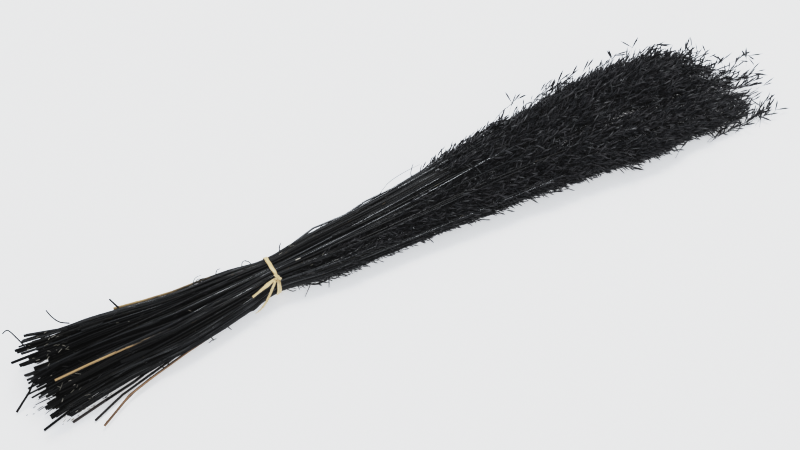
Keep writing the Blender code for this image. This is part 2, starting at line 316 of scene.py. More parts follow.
def run_of(straws, along):
    """Points on the middle line of each straw, at places along the bunch."""
    column = (slice(None),) + (None,) * (along.ndim - 1)

    def each(name):
        return getattr(straws, name)[column]

    half_width, half_height, middle, bend = sheaf(along)
    from_tie = along - TIE_AT
    to_butt = np.clip(-from_tie / TIE_AT, 0.0, 1.2)
    to_head = np.clip(from_tie / HEAD_REACH, 0.0, 1.1)
    turn = each("turn") + each("butt_drift") * to_butt + each("head_drift") * to_head
    sway = each("sway") * np.sin(along * SWAY_RATE + each("phase")) * (to_butt + to_head)
    turn = turn + sway / half_width
    share = each("share") + each("butt_share") * to_butt + each("head_share") * to_head
    share = np.clip(share, 0.0, np.where(each("share") > RING_SHARE, 1.0, INNER_LIMIT))
    radius = straw_radius(straws, along)
    on_top = LEAST_OVER + (1 - LEAST_OVER) * ramp(np.abs(from_tie), *OVER_FROM)
    on_top = on_top * each("over") * (1 - ramp(along, *OVER_UNTIL))
    sunk = HEAD_SINK * ramp(along, each("seeds_from"), each("seeds_from") + HEAD_RAMP)
    sunk = sunk * (1 + FAR_SINK / HEAD_SINK * np.maximum(np.cos(turn - FAR_SINK_TURN), 0.0))
    inset = radius * (1 - 2.0 * on_top) + sunk
    splayed = np.clip((SPLAY_REACH - along) / (SPLAY_REACH - each("cut_at")), 0.0, 1.0)
    spread = 1 + each("splay") * splayed ** SPLAY_POWER
    spread = spread + each("flare") * ramp(along, each("tip_at") - TIP_STRETCH, each("tip_at"))
    hollow = sum(fading(along, *row) for row in HOLLOWS) * share
    set_back = fading(along, *SET_BACK) * each("within")
    bow_share = (along - each("bow_from")) / np.maximum(each("bow_to") - each("bow_from"), 1e-3)
    bowed = each("bow") * np.sin(np.pi * np.clip(bow_share, 0.0, 1.0))
    y = bend + ((half_width - inset) * share * spread + bowed) * np.cos(turn)
    y = y - hollow * np.maximum(np.cos(turn), 0.0) + set_back * np.maximum(-np.cos(turn), 0.0)
    z = middle + ((half_height - inset) * share * spread + bowed) * np.sin(turn)
    z = np.maximum(z, radius + FLOOR_GAP)
    return np.stack([CUT_ENDS_X + along + 0.0 * y, y, z], axis=-1)


class Blank:
    """One shape as it is modelled, ready to be copied: its points and its faces, and for each
    corner of a face its place on the unrolled surface."""

    def __init__(self, made, unroll):
        mesh = made.data
        self.points = np.array([corner.co for corner in mesh.vertices])
        self.corners = np.array([loop.vertex_index for loop in mesh.loops])
        self.starts = np.array([face.loop_start for face in mesh.polygons])
        self.finishes = np.array([face.material_index for face in mesh.polygons])
        self.unrolled = np.zeros((len(self.corners), 2))
        for face in mesh.polygons:
            centre = face.center
            middle_turn = math.atan2(centre.y, centre.x) / math.tau
            for loop in face.loop_indices:
                corner = self.points[self.corners[loop]]
                turn = math.atan2(corner[1], corner[0]) / math.tau
                turn += round(middle_turn - turn)
                if math.hypot(corner[0], corner[1]) < 1e-5:
                    turn = middle_turn
                self.unrolled[loop] = (unroll(corner), turn + 0.5)
        bpy.data.objects.remove(made, do_unlink=True)
        bpy.data.meshes.remove(mesh)


def pick(made, kind, wanted):
    """Selects the faces, edges or points of a mesh in edit mode that the test wants."""
    bpy.ops.object.mode_set(mode="OBJECT")
    mesh = made.data
    for element in (*mesh.vertices, *mesh.edges, *mesh.polygons):
        element.select = False
    for element in getattr(mesh, kind):
        element.select = wanted(element, mesh)
    bpy.ops.object.mode_set(mode="EDIT")


def is_upright(edge, mesh):
    first, second = (mesh.vertices[k].co for k in edge.vertices)
    return abs(first.z - second.z) > 0.5 and math.hypot(first.x, first.y) > 0.5


def at_bottom(face, mesh):
    return face.center.z < 1e-4 and face.normal.z < -0.5


def new_blank(sides, cuts, ends="NGON"):
    """A closed round bar, one unit long and wide, that stands on its end and is cut into rings."""
    bpy.ops.object.select_all(action="DESELECT")
    bpy.ops.mesh.primitive_cylinder_add(
        vertices=sides, radius=1.0, depth=1.0, end_fill_type=ends, location=(0.0, 0.0, 0.5)
    )
    bpy.ops.object.transform_apply(location=True, rotation=False, scale=False)
    made = bpy.context.active_object
    bpy.ops.object.mode_set(mode="EDIT")
    bpy.ops.mesh.select_mode(type="EDGE")
    pick(made, "edges", is_upright)
    bpy.ops.mesh.subdivide(number_cuts=cuts)
    bpy.ops.object.mode_set(mode="OBJECT")
    return made


# The straw blank: a bar in rings, with its butt bored out.
RIM = 0.34
BORE_DEPTH = 0.006
straw = new_blank(STRAW_SIDES, STRAW_CUTS, "TRIFAN")
bpy.ops.object.mode_set(mode="EDIT")
bpy.ops.mesh.select_mode(type="FACE")
pick(straw, "polygons", at_bottom)
bpy.ops.mesh.inset(thickness=RIM, depth=0.0)
bpy.ops.mesh.extrude_region_move(TRANSFORM_OT_translate={"value": (0.0, 0.0, BORE_DEPTH)})
bpy.ops.object.mode_set(mode="OBJECT")
for face in straw.data.polygons:
    bored = any(0.01 < math.hypot(*straw.data.vertices[k].co[:2]) < 0.9 for k in face.vertices)
    face.material_index = 1 if bored else 0


def unroll_straw(corner):
    """Along the straw's skin from the bottom of its bore, over the rim and up to the tip."""
    out = math.hypot(corner[0], corner[1])
    if out > 0.9:
        return 0.035 + 0.955 * corner[2]
    if corner[2] > 0.5:
        return 1.0
    if out > 0.1:
        return 0.024 if corner[2] < 1e-4 else 0.010
    return 0.001


straw_blank = Blank(straw, unroll_straw)


def wrapped(blank, line, before, after, radius):
    """Copies of a round blank along lines, kept above the table. The points just before and after
    give the heading of each line."""
    forward = after - before
    forward = forward / np.linalg.norm(forward, axis=-1, keepdims=True)
    beside = np.cross(forward, np.array([0.0, 0.0, 1.0]))
    beside = beside / np.maximum(np.linalg.norm(beside, axis=-1, keepdims=True), 1e-9)
    above = np.cross(beside, forward)
    across, upward = (blank.points[:, side][None, :, None] for side in (0, 1))
    points = line + radius[..., None] * (across * beside + upward * above)
    points[..., 2] = np.maximum(points[..., 2], FLOOR_GAP)
    return points


def copies_of(name, blank, points, cells, tints=None, grain=None, smooth=True):
    """One mesh of many copies of a blank, each with its own points, laid out for paint in cells."""
    count = len(points)
    mesh = bpy.data.meshes.new(name)
    corners = (blank.corners[None] + np.arange(count)[:, None] * len(blank.points)).ravel()
    starts = (blank.starts[None] + np.arange(count)[:, None] * len(blank.corners)).ravel()
    mesh.vertices.add(count * len(blank.points))
    mesh.loops.add(len(corners))
    mesh.polygons.add(len(starts))
    mesh.vertices.foreach_set("co", points.astype(np.float32).ravel())
    mesh.loops.foreach_set("vertex_index", corners.astype(np.int32))
    mesh.polygons.foreach_set("loop_start", starts.astype(np.int32))
    mesh.polygons.foreach_set("material_index", np.tile(blank.finishes, count).astype(np.int32))
    mesh.polygons.foreach_set("use_smooth", np.full(len(starts), smooth))
    mesh.update(calc_edges=True)
    columns, rows = cells
    cell = np.arange(count)
    corner_of_cell = np.stack([cell % columns, cell // columns], axis=-1)[:, None, :]
    places = (corner_of_cell + 0.06 + 0.88 * blank.unrolled[None]) / np.array([columns, rows])
    layer = mesh.uv_layers.new(name="OFBake")
    layer.data.foreach_set("uv", places.astype(np.float32).ravel())
    if tints is not None:
        shade = mesh.attributes.new("tint", "FLOAT", "POINT")
        shade.data.foreach_set("value", np.repeat(tints, len(blank.points)).astype(np.float32))
    if grain is not None:
        lines = mesh.attributes.new("grain", "FLOAT_VECTOR", "POINT")
        lines.data.foreach_set("vector", grain.astype(np.float32).ravel())
    made = bpy.data.objects.new(name, mesh)
    bpy.context.scene.collection.objects.link(made)
    return made


def alone(made):
    bpy.ops.object.select_all(action="DESELECT")
    made.select_set(True)
    bpy.context.view_layer.objects.active = made


def straw_mesh(name, points, along, radius, offset, tints, finishes):
    """Straws in one mesh. Each takes its streaks and ribs from a place of its own in the grain."""
    across, upward = straw_blank.points[:, 0], straw_blank.points[:, 1]
    grain = np.stack([along, across * radius + offset, upward * radius + 2.0 * offset], axis=-1)
    made = copies_of(name, straw_blank, points, (1, len(points)), tints, grain)
    for finish in finishes:
        made.data.materials.append(finish)
    alone(made)
    bpy.ops.object.shade_smooth_by_angle(angle=STRAW_CREASE)
    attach(made, "root")
    return made


def lay_straws(name, straws, finishes, seed):
    """Bends a copy of the straw blank along the run of each straw."""
    scatter = np.random.default_rng(seed)
    joints = np.array(JOINTS)[None] + scatter.uniform(-1, 1, (straws.count, 1)) * JOINT_SCATTER
    joints = joints + scatter.uniform(-0.3, 0.3, joints.shape) * JOINT_SCATTER
    joints = np.maximum(joints, straws.cut_at[:, None] + FIRST_JOINT)
    near_joints = joints[:, :, None] + np.array([-1.0, 0.0, 1.0]) * JOINT_LENGTH
    near_joints = near_joints.reshape(straws.count, -1)
    at_tie = np.broadcast_to(TIE_AT + np.array(TIE_RINGS), (straws.count, len(TIE_RINGS)))
    spare = STRAW_CUTS + 2 - near_joints.shape[1] - len(TIE_RINGS)
    even = np.linspace(0.0, 1.0, spare)[None]
    even = straws.cut_at[:, None] + even * (straws.tip_at - straws.cut_at)[:, None]
    rings = np.sort(np.concatenate([even, near_joints, at_tie], axis=1), axis=1)
    ring_place = straw_blank.points[:, 2] * (STRAW_CUTS + 1)
    lower = np.minimum(ring_place.astype(int), STRAW_CUTS)
    share = ring_place - lower
    along = rings[:, lower] * (1 - share) + rings[:, lower + 1] * share
    bore = (straw_blank.points[:, 2] > 1e-4) & (straw_blank.points[:, 2] < 0.02)
    along = np.where(bore[None], straws.cut_at[:, None] + BORE_ENDS, along)
    radius = straw_radius(straws, along)
    for joint in joints.T:
        from_joint = (along - joint[:, None]) / (0.8 * JOINT_LENGTH)
        radius = radius * (1 + JOINT_SWELL * np.exp(-(from_joint ** 2)))
    before, after = run_of(straws, along - RUN_STEP), run_of(straws, along + RUN_STEP)
    points = wrapped(straw_blank, run_of(straws, along), before, after, radius)
    offset = scatter.uniform(0, 1, (straws.count, 1))
    return straw_mesh(name, points, along + 5.0 * offset, radius, offset, straws.tint, finishes)


# The outer ring, where the solids of the frame stand.
ring_scatter = random.Random(11)
ring_turns = FIRST_TURN + STRAW_TURN * np.arange(OUTER_STRAWS)
ring_cuts, ring_tips, ring_flares, ring_names, ring_splays = [], [], [], [], []
for index, turn in enumerate(ring_turns):
    farness = math.cos(turn)
    level = FAR_CUT if farness > FARTHEST else NEXT_CUT if farness > FAR else LEVEL_CUT
    cut_at = level + ring_scatter.uniform(-CUT_SCATTER, CUT_SCATTER)
    nearness = 0.5 + 0.5 * math.cos(turn - NEAR_TURN)
    tip_at = FAR_TIP + (NEAR_TIP - FAR_TIP) * nearness
    tip_at += ring_scatter.uniform(-TIP_SCATTER, TIP_SCATTER)
    flare = ring_scatter.uniform(0.0, TIP_FLARE)
    name, cut_at, splay = ODD_STRAWS.get(index, (f"grass_stem_{index + 1:02d}", cut_at, 0.0))
    ring_names.append(name)
    ring_cuts.append(cut_at)
    ring_tips.append(tip_at)
    ring_flares.append(flare)
    ring_splays.append(splay)

straw_scatter = np.random.default_rng(3)
outer = Straws(
    OUTER_STRAWS, turn=ring_turns, share=1.0, cut_at=ring_cuts, tip_at=ring_tips,
    seeds_from=head_starts(ring_turns) + straw_scatter.uniform(-0.02, 0.03, OUTER_STRAWS),
    thick=straw_scatter.uniform(0.66, 1.08, OUTER_STRAWS), splay=ring_splays, flare=ring_flares,
    butt_drift=straw_scatter.normal(0, 0.07, OUTER_STRAWS),
    head_drift=straw_scatter.normal(0, 0.08, OUTER_STRAWS),
    sway=straw_scatter.uniform(0.0, 0.0018, OUTER_STRAWS),
    phase=straw_scatter.uniform(0, math.tau, OUTER_STRAWS),
    tint=straw_scatter.uniform(0, 1, OUTER_STRAWS),
)

# Two straws bow away from the far side past the tie, and the loose ones on the near side bow away
# between the tie and their cut ends: how far, and from where to where. None of them is thin.
BOWS = (
    (FAR_BOWED[1], 0.0042, 0.238, 0.304), (FAR_BOWED[0], 0.0032, 0.285, 0.355),
    (BROWN_1, 0.0032, 0.036, 0.135), (BROWN_2, 0.0030, 0.031, 0.120), (WARM, 0.0078, 0.016, 0.105),
)
for index, bow, bow_from, bow_to in BOWS:
    outer.thick[index] = max(outer.thick[index], 1.0)
    outer.bow[index] = bow
    outer.bow_from[index] = bow_from
    outer.bow_to[index] = bow_to

# The straws inside the ring.
inner_turns, inner_shares = [], []
for number, share in INNER_RINGS:
    start = straw_scatter.uniform(0, math.tau)
    for k in range(number):
        inner_turns.append(start + k * math.tau / number + straw_scatter.uniform(-0.06, 0.06))
        inner_shares.append(share)
inner_turns, inner_shares = np.array(inner_turns), np.array(inner_shares)
count = len(inner_turns)
inner = Straws(
    count, turn=inner_turns, share=inner_shares, within=1.0,
    cut_at=LEVEL_CUT + straw_scatter.normal(0.0, 0.0070, count),
    tip_at=(
        INNER_TIP + INNER_NEAR_LONGER * np.cos(inner_turns - NEAR_TURN)
        + straw_scatter.uniform(-0.045, 0.020, count)
    ),
    seeds_from=head_starts(inner_turns) + straw_scatter.uniform(0.0, 0.05, count),
    thick=straw_scatter.uniform(0.62, 1.02, count),
    flare=straw_scatter.uniform(0, 0.2, count),
    butt_drift=straw_scatter.normal(0, 0.16, count),
    head_drift=straw_scatter.normal(0, 0.18, count),
    butt_share=straw_scatter.normal(0.05, 0.16, count),
    head_share=straw_scatter.normal(0.04, 0.14, count),
    sway=straw_scatter.uniform(0.0, 0.0025, count),
    phase=straw_scatter.uniform(0, math.tau, count),
    tint=straw_scatter.uniform(0, 1, count),
)

# Thinner straws on top of the ring that cross over the others. Some of them are cut short.
crossing_turns = straw_scatter.uniform(math.radians(-25), math.radians(205), CROSSING_STRAWS)
cut_short = straw_scatter.uniform(0, 1, CROSSING_STRAWS) < 0.4
crossing = Straws(
    CROSSING_STRAWS, turn=crossing_turns, share=1.0, over=1.0, within=1.0,
    cut_at=LEVEL_CUT + np.where(
        cut_short,
        straw_scatter.uniform(0.008, 0.055, CROSSING_STRAWS),
        straw_scatter.uniform(-0.008, 0.008, CROSSING_STRAWS),
    ),
    tip_at=straw_scatter.uniform(0.59, 0.672, CROSSING_STRAWS),
    seeds_from=np.where(
        cut_short,
        straw_scatter.uniform(0.38, 0.48, CROSSING_STRAWS),
        head_starts(crossing_turns) + straw_scatter.uniform(0.00, 0.06, CROSSING_STRAWS),
    ),
    thick=straw_scatter.uniform(0.55, 0.88, CROSSING_STRAWS),
    butt_drift=straw_scatter.normal(0, 0.32, CROSSING_STRAWS),
    head_drift=straw_scatter.normal(0, 0.26, CROSSING_STRAWS),
    sway=straw_scatter.uniform(0.0, 0.0026, CROSSING_STRAWS),
    phase=straw_scatter.uniform(0, math.tau, CROSSING_STRAWS),
    tint=straw_scatter.uniform(0, 1, CROSSING_STRAWS),
)

# The golden straw and the tan one lie on top of the others, and the brown ones outside them, so
# those that would cross over them stay lower. The bowed ones splay a little at their cut ends.
outer.butt_drift[[TAN, *FAR_BOWED, BROWN_1, BROWN_2]] = 0.0
outer.sway[[GOLDEN, TAN, BROWN_1, BROWN_2]] = 0.0
outer.turn[GOLDEN] += 0.30
outer.butt_drift[GOLDEN] = -0.24
outer.over[[TAN, GOLDEN, BROWN_1, BROWN_2]] = (1.9, 0.7, 1.0, 1.0)
outer.head_share[TAN] = -0.8
outer.splay[[*FAR_BOWED]] = (0.13, 0.16)
butt_turns = np.clip(crossing.turn + crossing.butt_drift, math.radians(32), math.radians(182))
crossing.butt_drift = butt_turns - crossing.turn
head_turns = np.clip(crossing.turn + crossing.head_drift, math.radians(48), math.radians(198))
crossing.head_drift = head_turns - crossing.turn
crossing.over[np.abs(butt_turns - outer.turn[GOLDEN] + 0.22) < 0.14] = 0.2

# The straws next to the loose ones on the near side stand back, and the loose ones are dark.
outer.butt_drift[[24, 25]] = (-0.05, -0.14)
outer.within[22:26] = 1.3
outer.within[26:28] = 0.45
outer.tint[[26, 27, BROWN_2, 31]] = 0.15

# On the far side and on the near side the others are cut a little shorter.
for group in (inner, crossing):
    facing = np.cos(group.turn + group.butt_drift)
    shorter = FAR_SHORTER * ramp(facing, 0.70, 0.95) + NEAR_SHORTER * ramp(-facing, 0.25, 0.60)
    group.cut_at += shorter


# The dye on the straws: black, bluish where it is thick, brown and tan in thin streaks, and
# rubbed at random. The skin has fine ribs along the straw, and some straws are worn smooth. Their
# colour and shine are painted darker towards the cut ends, as painted shade.
BLACK = (0.0030, 0.0034, 0.0048)
THIN_BLACK = (0.0105, 0.0098, 0.0098)
SCUFFED = (0.085, 0.064, 0.040)
DYE_HUES = (
    (0.10, (0.62, 0.76, 1.00)), (0.35, (0.80, 0.80, 0.84)), (0.55, (1.00, 0.82, 0.62)),
    (0.72, (0.74, 0.80, 0.60)), (0.90, (0.84, 0.90, 1.00)),
)
SMOOTHER = 0.13
SHINIER = 0.75
# Painted shade along the straws: the factor at the cut ends, the factor past it, and how far it reaches.
CUT_END_SHADE = 0.55
PAST_SHADE = 1.45
SHADE_REACH = 0.34
BRIGHT_FLECK = 1.5
STREAKS = (24.0, 900.0, 900.0)
FLECKS = (170.0, 1500.0, 1500.0)
BLOTCHES = (16.0, 60.0, 60.0)
RIBS = (10.0, 3200.0, 3200.0)
RELIEF = 0.0002
CUT_ROUGHNESS = 0.8


def feed(tree, node, inputs):
    """Links what comes from another node to an input, or sets a plain value on it."""
    for name, value in inputs.items():
        if isinstance(value, bpy.types.NodeSocket):
            tree.links.new(value, node.inputs[name])
        else:
            node.inputs[name].default_value = value


def new_node(tree, kind, output, inputs, **settings):
    """A node with its settings and inputs. Gives one of its outputs."""
    node = tree.nodes.new("ShaderNode" + kind)
    for setting, value in settings.items():
        setattr(node, setting, value)
    feed(tree, node, inputs)
    return node.outputs[output]


def carried(tree, name, output):
    """What the mesh carries at its points."""
    return new_node(tree, "Attribute", output, {}, attribute_name=name)


def place_on(tree):
    return new_node(tree, "TexCoord", "Object", {})


def place_along(tree):
    return new_node(tree, "SeparateXYZ", "X", {"Vector": place_on(tree)})


def patches(tree, vector, detail, stretch=(1.0, 1.0, 1.0), scale=1.0):
    """Soft uneven patches, longer one way where they are stretched."""
    stretched = new_node(tree, "Mapping", "Vector", {"Vector": vector, "Scale": stretch})
    settings = {"Vector": stretched, "Scale": scale, "Detail": detail}
    return new_node(tree, "TexNoise", "Fac", settings)


def ranged(tree, value, low, high, to_low=0.0, to_high=1.0):
    """Turns the way from low to high into the way between two other values, and stops there."""
    limits = {"From Min": low, "From Max": high, "To Min": to_low, "To Max": to_high}
    return new_node(tree, "MapRange", "Result", {"Value": value, **limits})


def reckoned(tree, operation, *values):
    return new_node(tree, "Math", 0, dict(enumerate(values)), operation=operation)


def mixed(tree, share, first, second, way="MIX"):
    colours = {"Factor": share, "A": first, "B": second}
    return new_node(tree, "Mix", "Result", colours, data_type="RGBA", blend_type=way)


def raised(tree, height, strength):
    """Fine relief on a surface."""
    relief = {"Height": height, "Strength": strength, "Distance": RELIEF}
    return new_node(tree, "Bump", "Normal", relief)


def steps_of(tree, value, stops):
    """Colours along a value from 0 to 1."""
    ramp_node = tree.nodes.new("ShaderNodeValToRGB")
    stock = ramp_node.color_ramp.elements
    while len(stock) < len(stops):
        stock.new(0.5)
    for element, (place, colour) in zip(stock, stops):
        element.position = place
        element.color = (*colour, 1.0)
    feed(tree, ramp_node, {"Fac": value})
    return ramp_node.outputs["Color"]


def dyed_straw(name, dark, thin, bare, bare_from, roughness, spec):
    """The dyed skin of straws: streaks, flecks and blotches, a tone of its own for each, and painted shade
    towards the cut ends.
    """
    finish, shader, tree = new_finish(name, dark, roughness)
    grain, tint = carried(tree, "grain", "Vector"), carried(tree, "tint", "Fac")
    streaks = ((0.42, dark), (0.66, thin), (bare_from, thin), (bare_from + 0.05, bare))
    skin = steps_of(tree, patches(tree, grain, 4.0, STREAKS), streaks)
    flecks = ranged(tree, patches(tree, grain, 1.0, FLECKS), 0.735, 0.775)
    skin = mixed(tree, flecks, skin, (*(BRIGHT_FLECK * value for value in bare), 1.0))
    blotches = patches(tree, grain, 2.0, BLOTCHES)
    shade = ranged(tree, blotches, 0.3, 0.7, 0.65, 1.3)
    each = ranged(tree, tint, 0.0, 1.0, 0.35, 1.9)
    # Painted shade: colour and shine fall off towards the cut ends.
    shade_to_cut_ends = ranged(tree, place_along(tree), CUT_ENDS_X, CUT_ENDS_X + SHADE_REACH, CUT_END_SHADE, PAST_SHADE)
    tone = reckoned(tree, "MULTIPLY", reckoned(tree, "MULTIPLY", shade, each), shade_to_cut_ends)
    toned = new_node(tree, "VectorMath", "Vector", {0: skin, "Scale": tone}, operation="SCALE")
    worn_smooth = ranged(tree, tint, 0.70, 0.80)
    rough = ranged(tree, blotches, 0.3, 0.7, roughness - 0.10, roughness + 0.18)
    shine = ranged(tree, worn_smooth, 0.0, 1.0, spec, spec + SHINIER)
    feed(tree, shader, {
        "Base Color": mixed(tree, 1.0, toned, steps_of(tree, tint, DYE_HUES), "MULTIPLY"),
        "Roughness": reckoned(tree, "MULTIPLY_ADD", worn_smooth, -SMOOTHER, rough),
        "Specular IOR Level": reckoned(tree, "MULTIPLY", shine, shade_to_cut_ends),
        "Normal": raised(tree, patches(tree, grain, 2.0, RIBS), 0.25),
    })
    return finish


def cut_face(name, dark, pale):
    """The sawn rim of a straw and the pith inside it, where the dye soaked in unevenly."""
    finish, shader, tree = new_finish(name, dark, CUT_ROUGHNESS)
    each = steps_of(tree, carried(tree, "tint", "Fac"), ((0.50, dark), (0.62, pale)))
    speckle = patches(tree, place_on(tree), 3.0, scale=900.0)
    feed(tree, shader, {"Base Color": mixed(tree, speckle, each, (*dark, 1.0))})
    return finish


dyed_skin = dyed_straw("dyed_straw", BLACK, THIN_BLACK, SCUFFED, 0.715, 0.30, 0.30)
dyed_rim = cut_face("dyed_straw_cut", (0.014, 0.012, 0.010), (0.34, 0.27, 0.17))

# The ring is laid side by side, without its coloured straws.
SIDE_FROM = 0.45
COLOURED = (TAN, GOLDEN, BROWN_1, BROWN_2, WARM)


def on_side(side, rows):
    """The straws of the ring that lie on one side of the bunch."""
    def side_of(turn):
        if abs(math.cos(turn)) > SIDE_FROM:
            return "far" if math.cos(turn) > 0 else "near"
        return "top" if math.sin(turn) > 0 else "under"

    return [k for k in rows if side_of(ring_turns[k]) == side]


dyed_rows = [k for k in range(RING_SOLIDS) if k not in COLOURED]
for number, side in enumerate(("far", "top", "near")):
    rows = on_side(side, dyed_rows)
    made = lay_straws(f"straws_{side}_side", outer.chosen(rows), (dyed_skin, dyed_rim), 20 + number)
    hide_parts(*[ring_names[k] for k in rows])

under = outer.chosen(list(range(RING_SOLIDS, OUTER_STRAWS)))

# A short broken straw lies loose on the near side, and a second brown strand beside the first.
short_straw = Straws(
    1, share=1.0, over=0.4, tip_at=0.64, seeds_from=0.25, turn=math.radians(209.5), cut_at=0.046,
    splay=0.10, thick=0.50, tint=0.3,
)
brown_strand = Straws(
    1, share=1.0, over=1.4, tip_at=0.62, seeds_from=0.25, turn=math.radians(213), cut_at=0.052,
    splay=0.36, thick=0.48, tint=0.8, bow=0.0032, bow_from=0.036, bow_to=0.135,
)
lowest_scatter = np.random.default_rng(5)
lowest = Straws(
    LOWEST_STRAWS, share=0.76, within=1.0, seeds_from=0.34,
    turn=np.linspace(math.radians(196), math.radians(344), LOWEST_STRAWS),
    cut_at=LEVEL_CUT + lowest_scatter.uniform(0.004, 0.016, LOWEST_STRAWS),
    tip_at=lowest_scatter.uniform(0.63, 0.67, LOWEST_STRAWS),
    thick=lowest_scatter.uniform(0.8, 1.05, LOWEST_STRAWS),
    butt_share=lowest_scatter.uniform(-0.25, 0.10, LOWEST_STRAWS),
    tint=lowest_scatter.uniform(0, 0.7, LOWEST_STRAWS),
)
all_inside = inner.with_all(under, lowest, short_straw)
inner_straws = lay_straws("straws_inside", all_inside, (dyed_skin, dyed_rim), 31)
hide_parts("packed_grass")
crossing_straws = lay_straws("straws_crossing", crossing, (dyed_skin, dyed_rim), 37)


# Coloured straws. The dye missed one golden straw on top and left a tan one on the far edge and
# two brown ones, splayed out on the near side. They darken towards the tie.
COLOURED_ROUGHNESS = 0.36
COLOURED_STREAKS = (22.0, 1400.0, 1400.0)
DYE_EDGE = (90.0, 700.0, 700.0)


def coloured_straw(name, light, deep, dark_from, dark_to, ragged):
    """An undyed skin, with the ragged edge of the dye further along."""
    finish, shader, tree = new_finish(name, light, COLOURED_ROUGHNESS)
    grain = carried(tree, "grain", "Vector")
    streaks = patches(tree, grain, 5.0, COLOURED_STREAKS)
    skin = steps_of(tree, streaks, ((0.32, deep), (0.60, light)))
    shift = ranged(tree, patches(tree, grain, 4.0, DYE_EDGE), 0.25, 0.75, -ragged, ragged)
    shifted = reckoned(tree, "ADD", place_along(tree), shift)
    dyed = ranged(tree, shifted, CUT_ENDS_X + dark_from, CUT_ENDS_X + dark_to)
    feed(tree, shader, {
        "Base Color": mixed(tree, dyed, skin, (*THIN_BLACK, 1.0)),
        "Normal": raised(tree, patches(tree, grain, 2.0, RIBS), 0.35),
    })
    return finish


# What each is called as a finish, its light and deep colours, where the dye's edge begins and ends
# and how ragged it is, and how thick the straw is.
COLOURS = {
    TAN: ("tan_straw", (0.46, 0.34, 0.19), (0.24, 0.16, 0.08), (0.120, 0.175, 0.030), 1.00),
    GOLDEN: ("golden_straw", (0.52, 0.37, 0.205), (0.25, 0.155, 0.075), (0.074, 0.096, 0.030), 0.92),
    BROWN_1: ("brown_straw", (0.43, 0.27, 0.16), (0.075, 0.045, 0.030), (0.125, 0.200, 0.030), 0.90),
    BROWN_2: ("brown_straw", (0.030, 0.020, 0.016), (0.010, 0.008, 0.008), (0.060, 0.150, 0.030), 0.85),
    WARM: ("dyed_stem", (0.095, 0.070, 0.062), (0.030, 0.022, 0.020), (0.060, 0.120, 0.040), 1.02),
}
for index in COLOURED:
    name = ring_names[index]
    slot_name, light, deep, edge, thick = COLOURS[index]
    skin = coloured_straw(name + "_skin", light, deep, *edge)
    rim = cut_face(name + "_cut", tuple(0.6 * value for value in light), light)
    one = outer.chosen([index])
    one.thick[:] = thick
    one.tint[:] = 0.9
    if index == BROWN_1:
        one = one.with_all(brown_strand)
    made = lay_straws(name.replace("stem", "straw"), one, (skin, rim), 40 + index)
    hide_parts(name)


# Seed heads. Up from the neck each plant carries fine side branches, and every branch carries
# slender spikelets, pointed at both ends, on hair-thin stalks. They lie along the bunch and stick
# out of its edges. The dye left them matt, blue-black to olive.
BRANCH_STEP = 0.0125
EARLIER = 0.012
TIP_BARE = 0.006
PAST_TIP = 0.010
BRANCH_LENGTH = (0.018, 0.044)
BRANCH_RADIUS = 0.00020
HAIR_CUTS = 2
SPIKELET_LENGTH = (0.0044, 0.0076)
SPIKELET_WIDTH = (0.00042, 0.00068)
SPIKELET_LEAN = (math.radians(8), math.radians(54))
STICKING_OUT = 0.08
STICKING_LEAN = (0.9, 1.4)
ASIDE = 1.3
NEAR_SURFACE = (0.0010, 0.0060)
STANDING_OFF = (0.0055, 0.0105)
FRINGE_OFF = (0.0040, 0.0130)
LOWEST_BRANCH = 0.0006

# Spikelets are smaller near the tie: from where to where they grow, and the least share of the
# full length and width. The heads thin out towards their tips.
GROWING = (0.24, 0.42)
LEAST_LENGTH = 0.62
LEAST_WIDTH = 0.7
THINNED = 0.62
THINS_OUT = (0.612, 0.668)

# The spikelet blank: a three-sided bar, drawn out to a stalk below and a point above, and curved.
# For each ring, its height, its width and how far it is bent to the side.
STALK = 0.45
SPIKELET_RINGS = ((-STALK, 0.14, -0.10), (0.10, 0.80, 0.10), (0.55, 0.95, 0.15), (1.0, 0.06, -0.25))
spikelet = new_blank(3, len(SPIKELET_RINGS) - 2)
for corner in spikelet.data.vertices:
    rise, width, bow = SPIKELET_RINGS[round(corner.co.z * (len(SPIKELET_RINGS) - 1))]
    corner.co = (corner.co.x * width + bow, corner.co.y * width, rise)
spikelet_blank = Blank(spikelet, lambda corner: 0.02 + 0.96 * (corner[2] + STALK) / (1 + STALK))

# The hair blank: a three-sided bar in rings, for side branches.
hair_blank = Blank(new_blank(3, HAIR_CUTS), lambda corner: 0.02 + 0.96 * corner[2])


def unit(vectors):
    return vectors / np.maximum(np.linalg.norm(vectors, axis=-1, keepdims=True), 1e-9)


class Branches:
    """The side branches of some plants: where each leaves its plant, and how it stands off."""

    def __init__(self, straws, per_place, stand_off, sideways, scatter):
        owners, starts = [], []
        for k in range(straws.count):
            length = straws.tip_at[k] - TIP_BARE - straws.seeds_from[k]
            number = max(2, round(length / BRANCH_STEP * per_place))
            owners += [k] * number
            steps = (np.arange(number) + scatter.uniform(0, 1, number)) / number
            starts.append(straws.seeds_from[k] - EARLIER + length * steps)
        owners, starts = np.array(owners), np.concatenate(starts)
        kept = scatter.uniform(0, 1, len(owners)) > THINNED * ramp(starts, *THINS_OUT)
        self.straws, self.starts = straws.chosen(owners[kept]), starts[kept]
        self.count = self.straws.count
        lengths = scatter.uniform(*BRANCH_LENGTH, self.count)
        self.lengths = np.minimum(lengths, self.straws.tip_at + PAST_TIP - self.starts)
        self.stand_off = scatter.uniform(*stand_off, self.count)
        if sideways is None:
            sides = scatter.uniform(0, math.tau, self.count)
        else:
            sides = scatter.normal(0.0, sideways, self.count)
        turn = self.straws.turn + sides
        self.out = np.stack([0 * turn, np.cos(turn), np.sin(turn)], axis=-1)[:, None]

    def points(self, share):
        """Points at shares of each branch's length: one row for each branch."""
        line = run_of(self.straws, self.starts[:, None] + self.lengths[:, None] * share)
        line = line + self.out * (self.stand_off[:, None] * np.abs(share) ** 0.8)[..., None]
        line[..., 2] = np.maximum(line[..., 2], LOWEST_BRANCH)
        return line


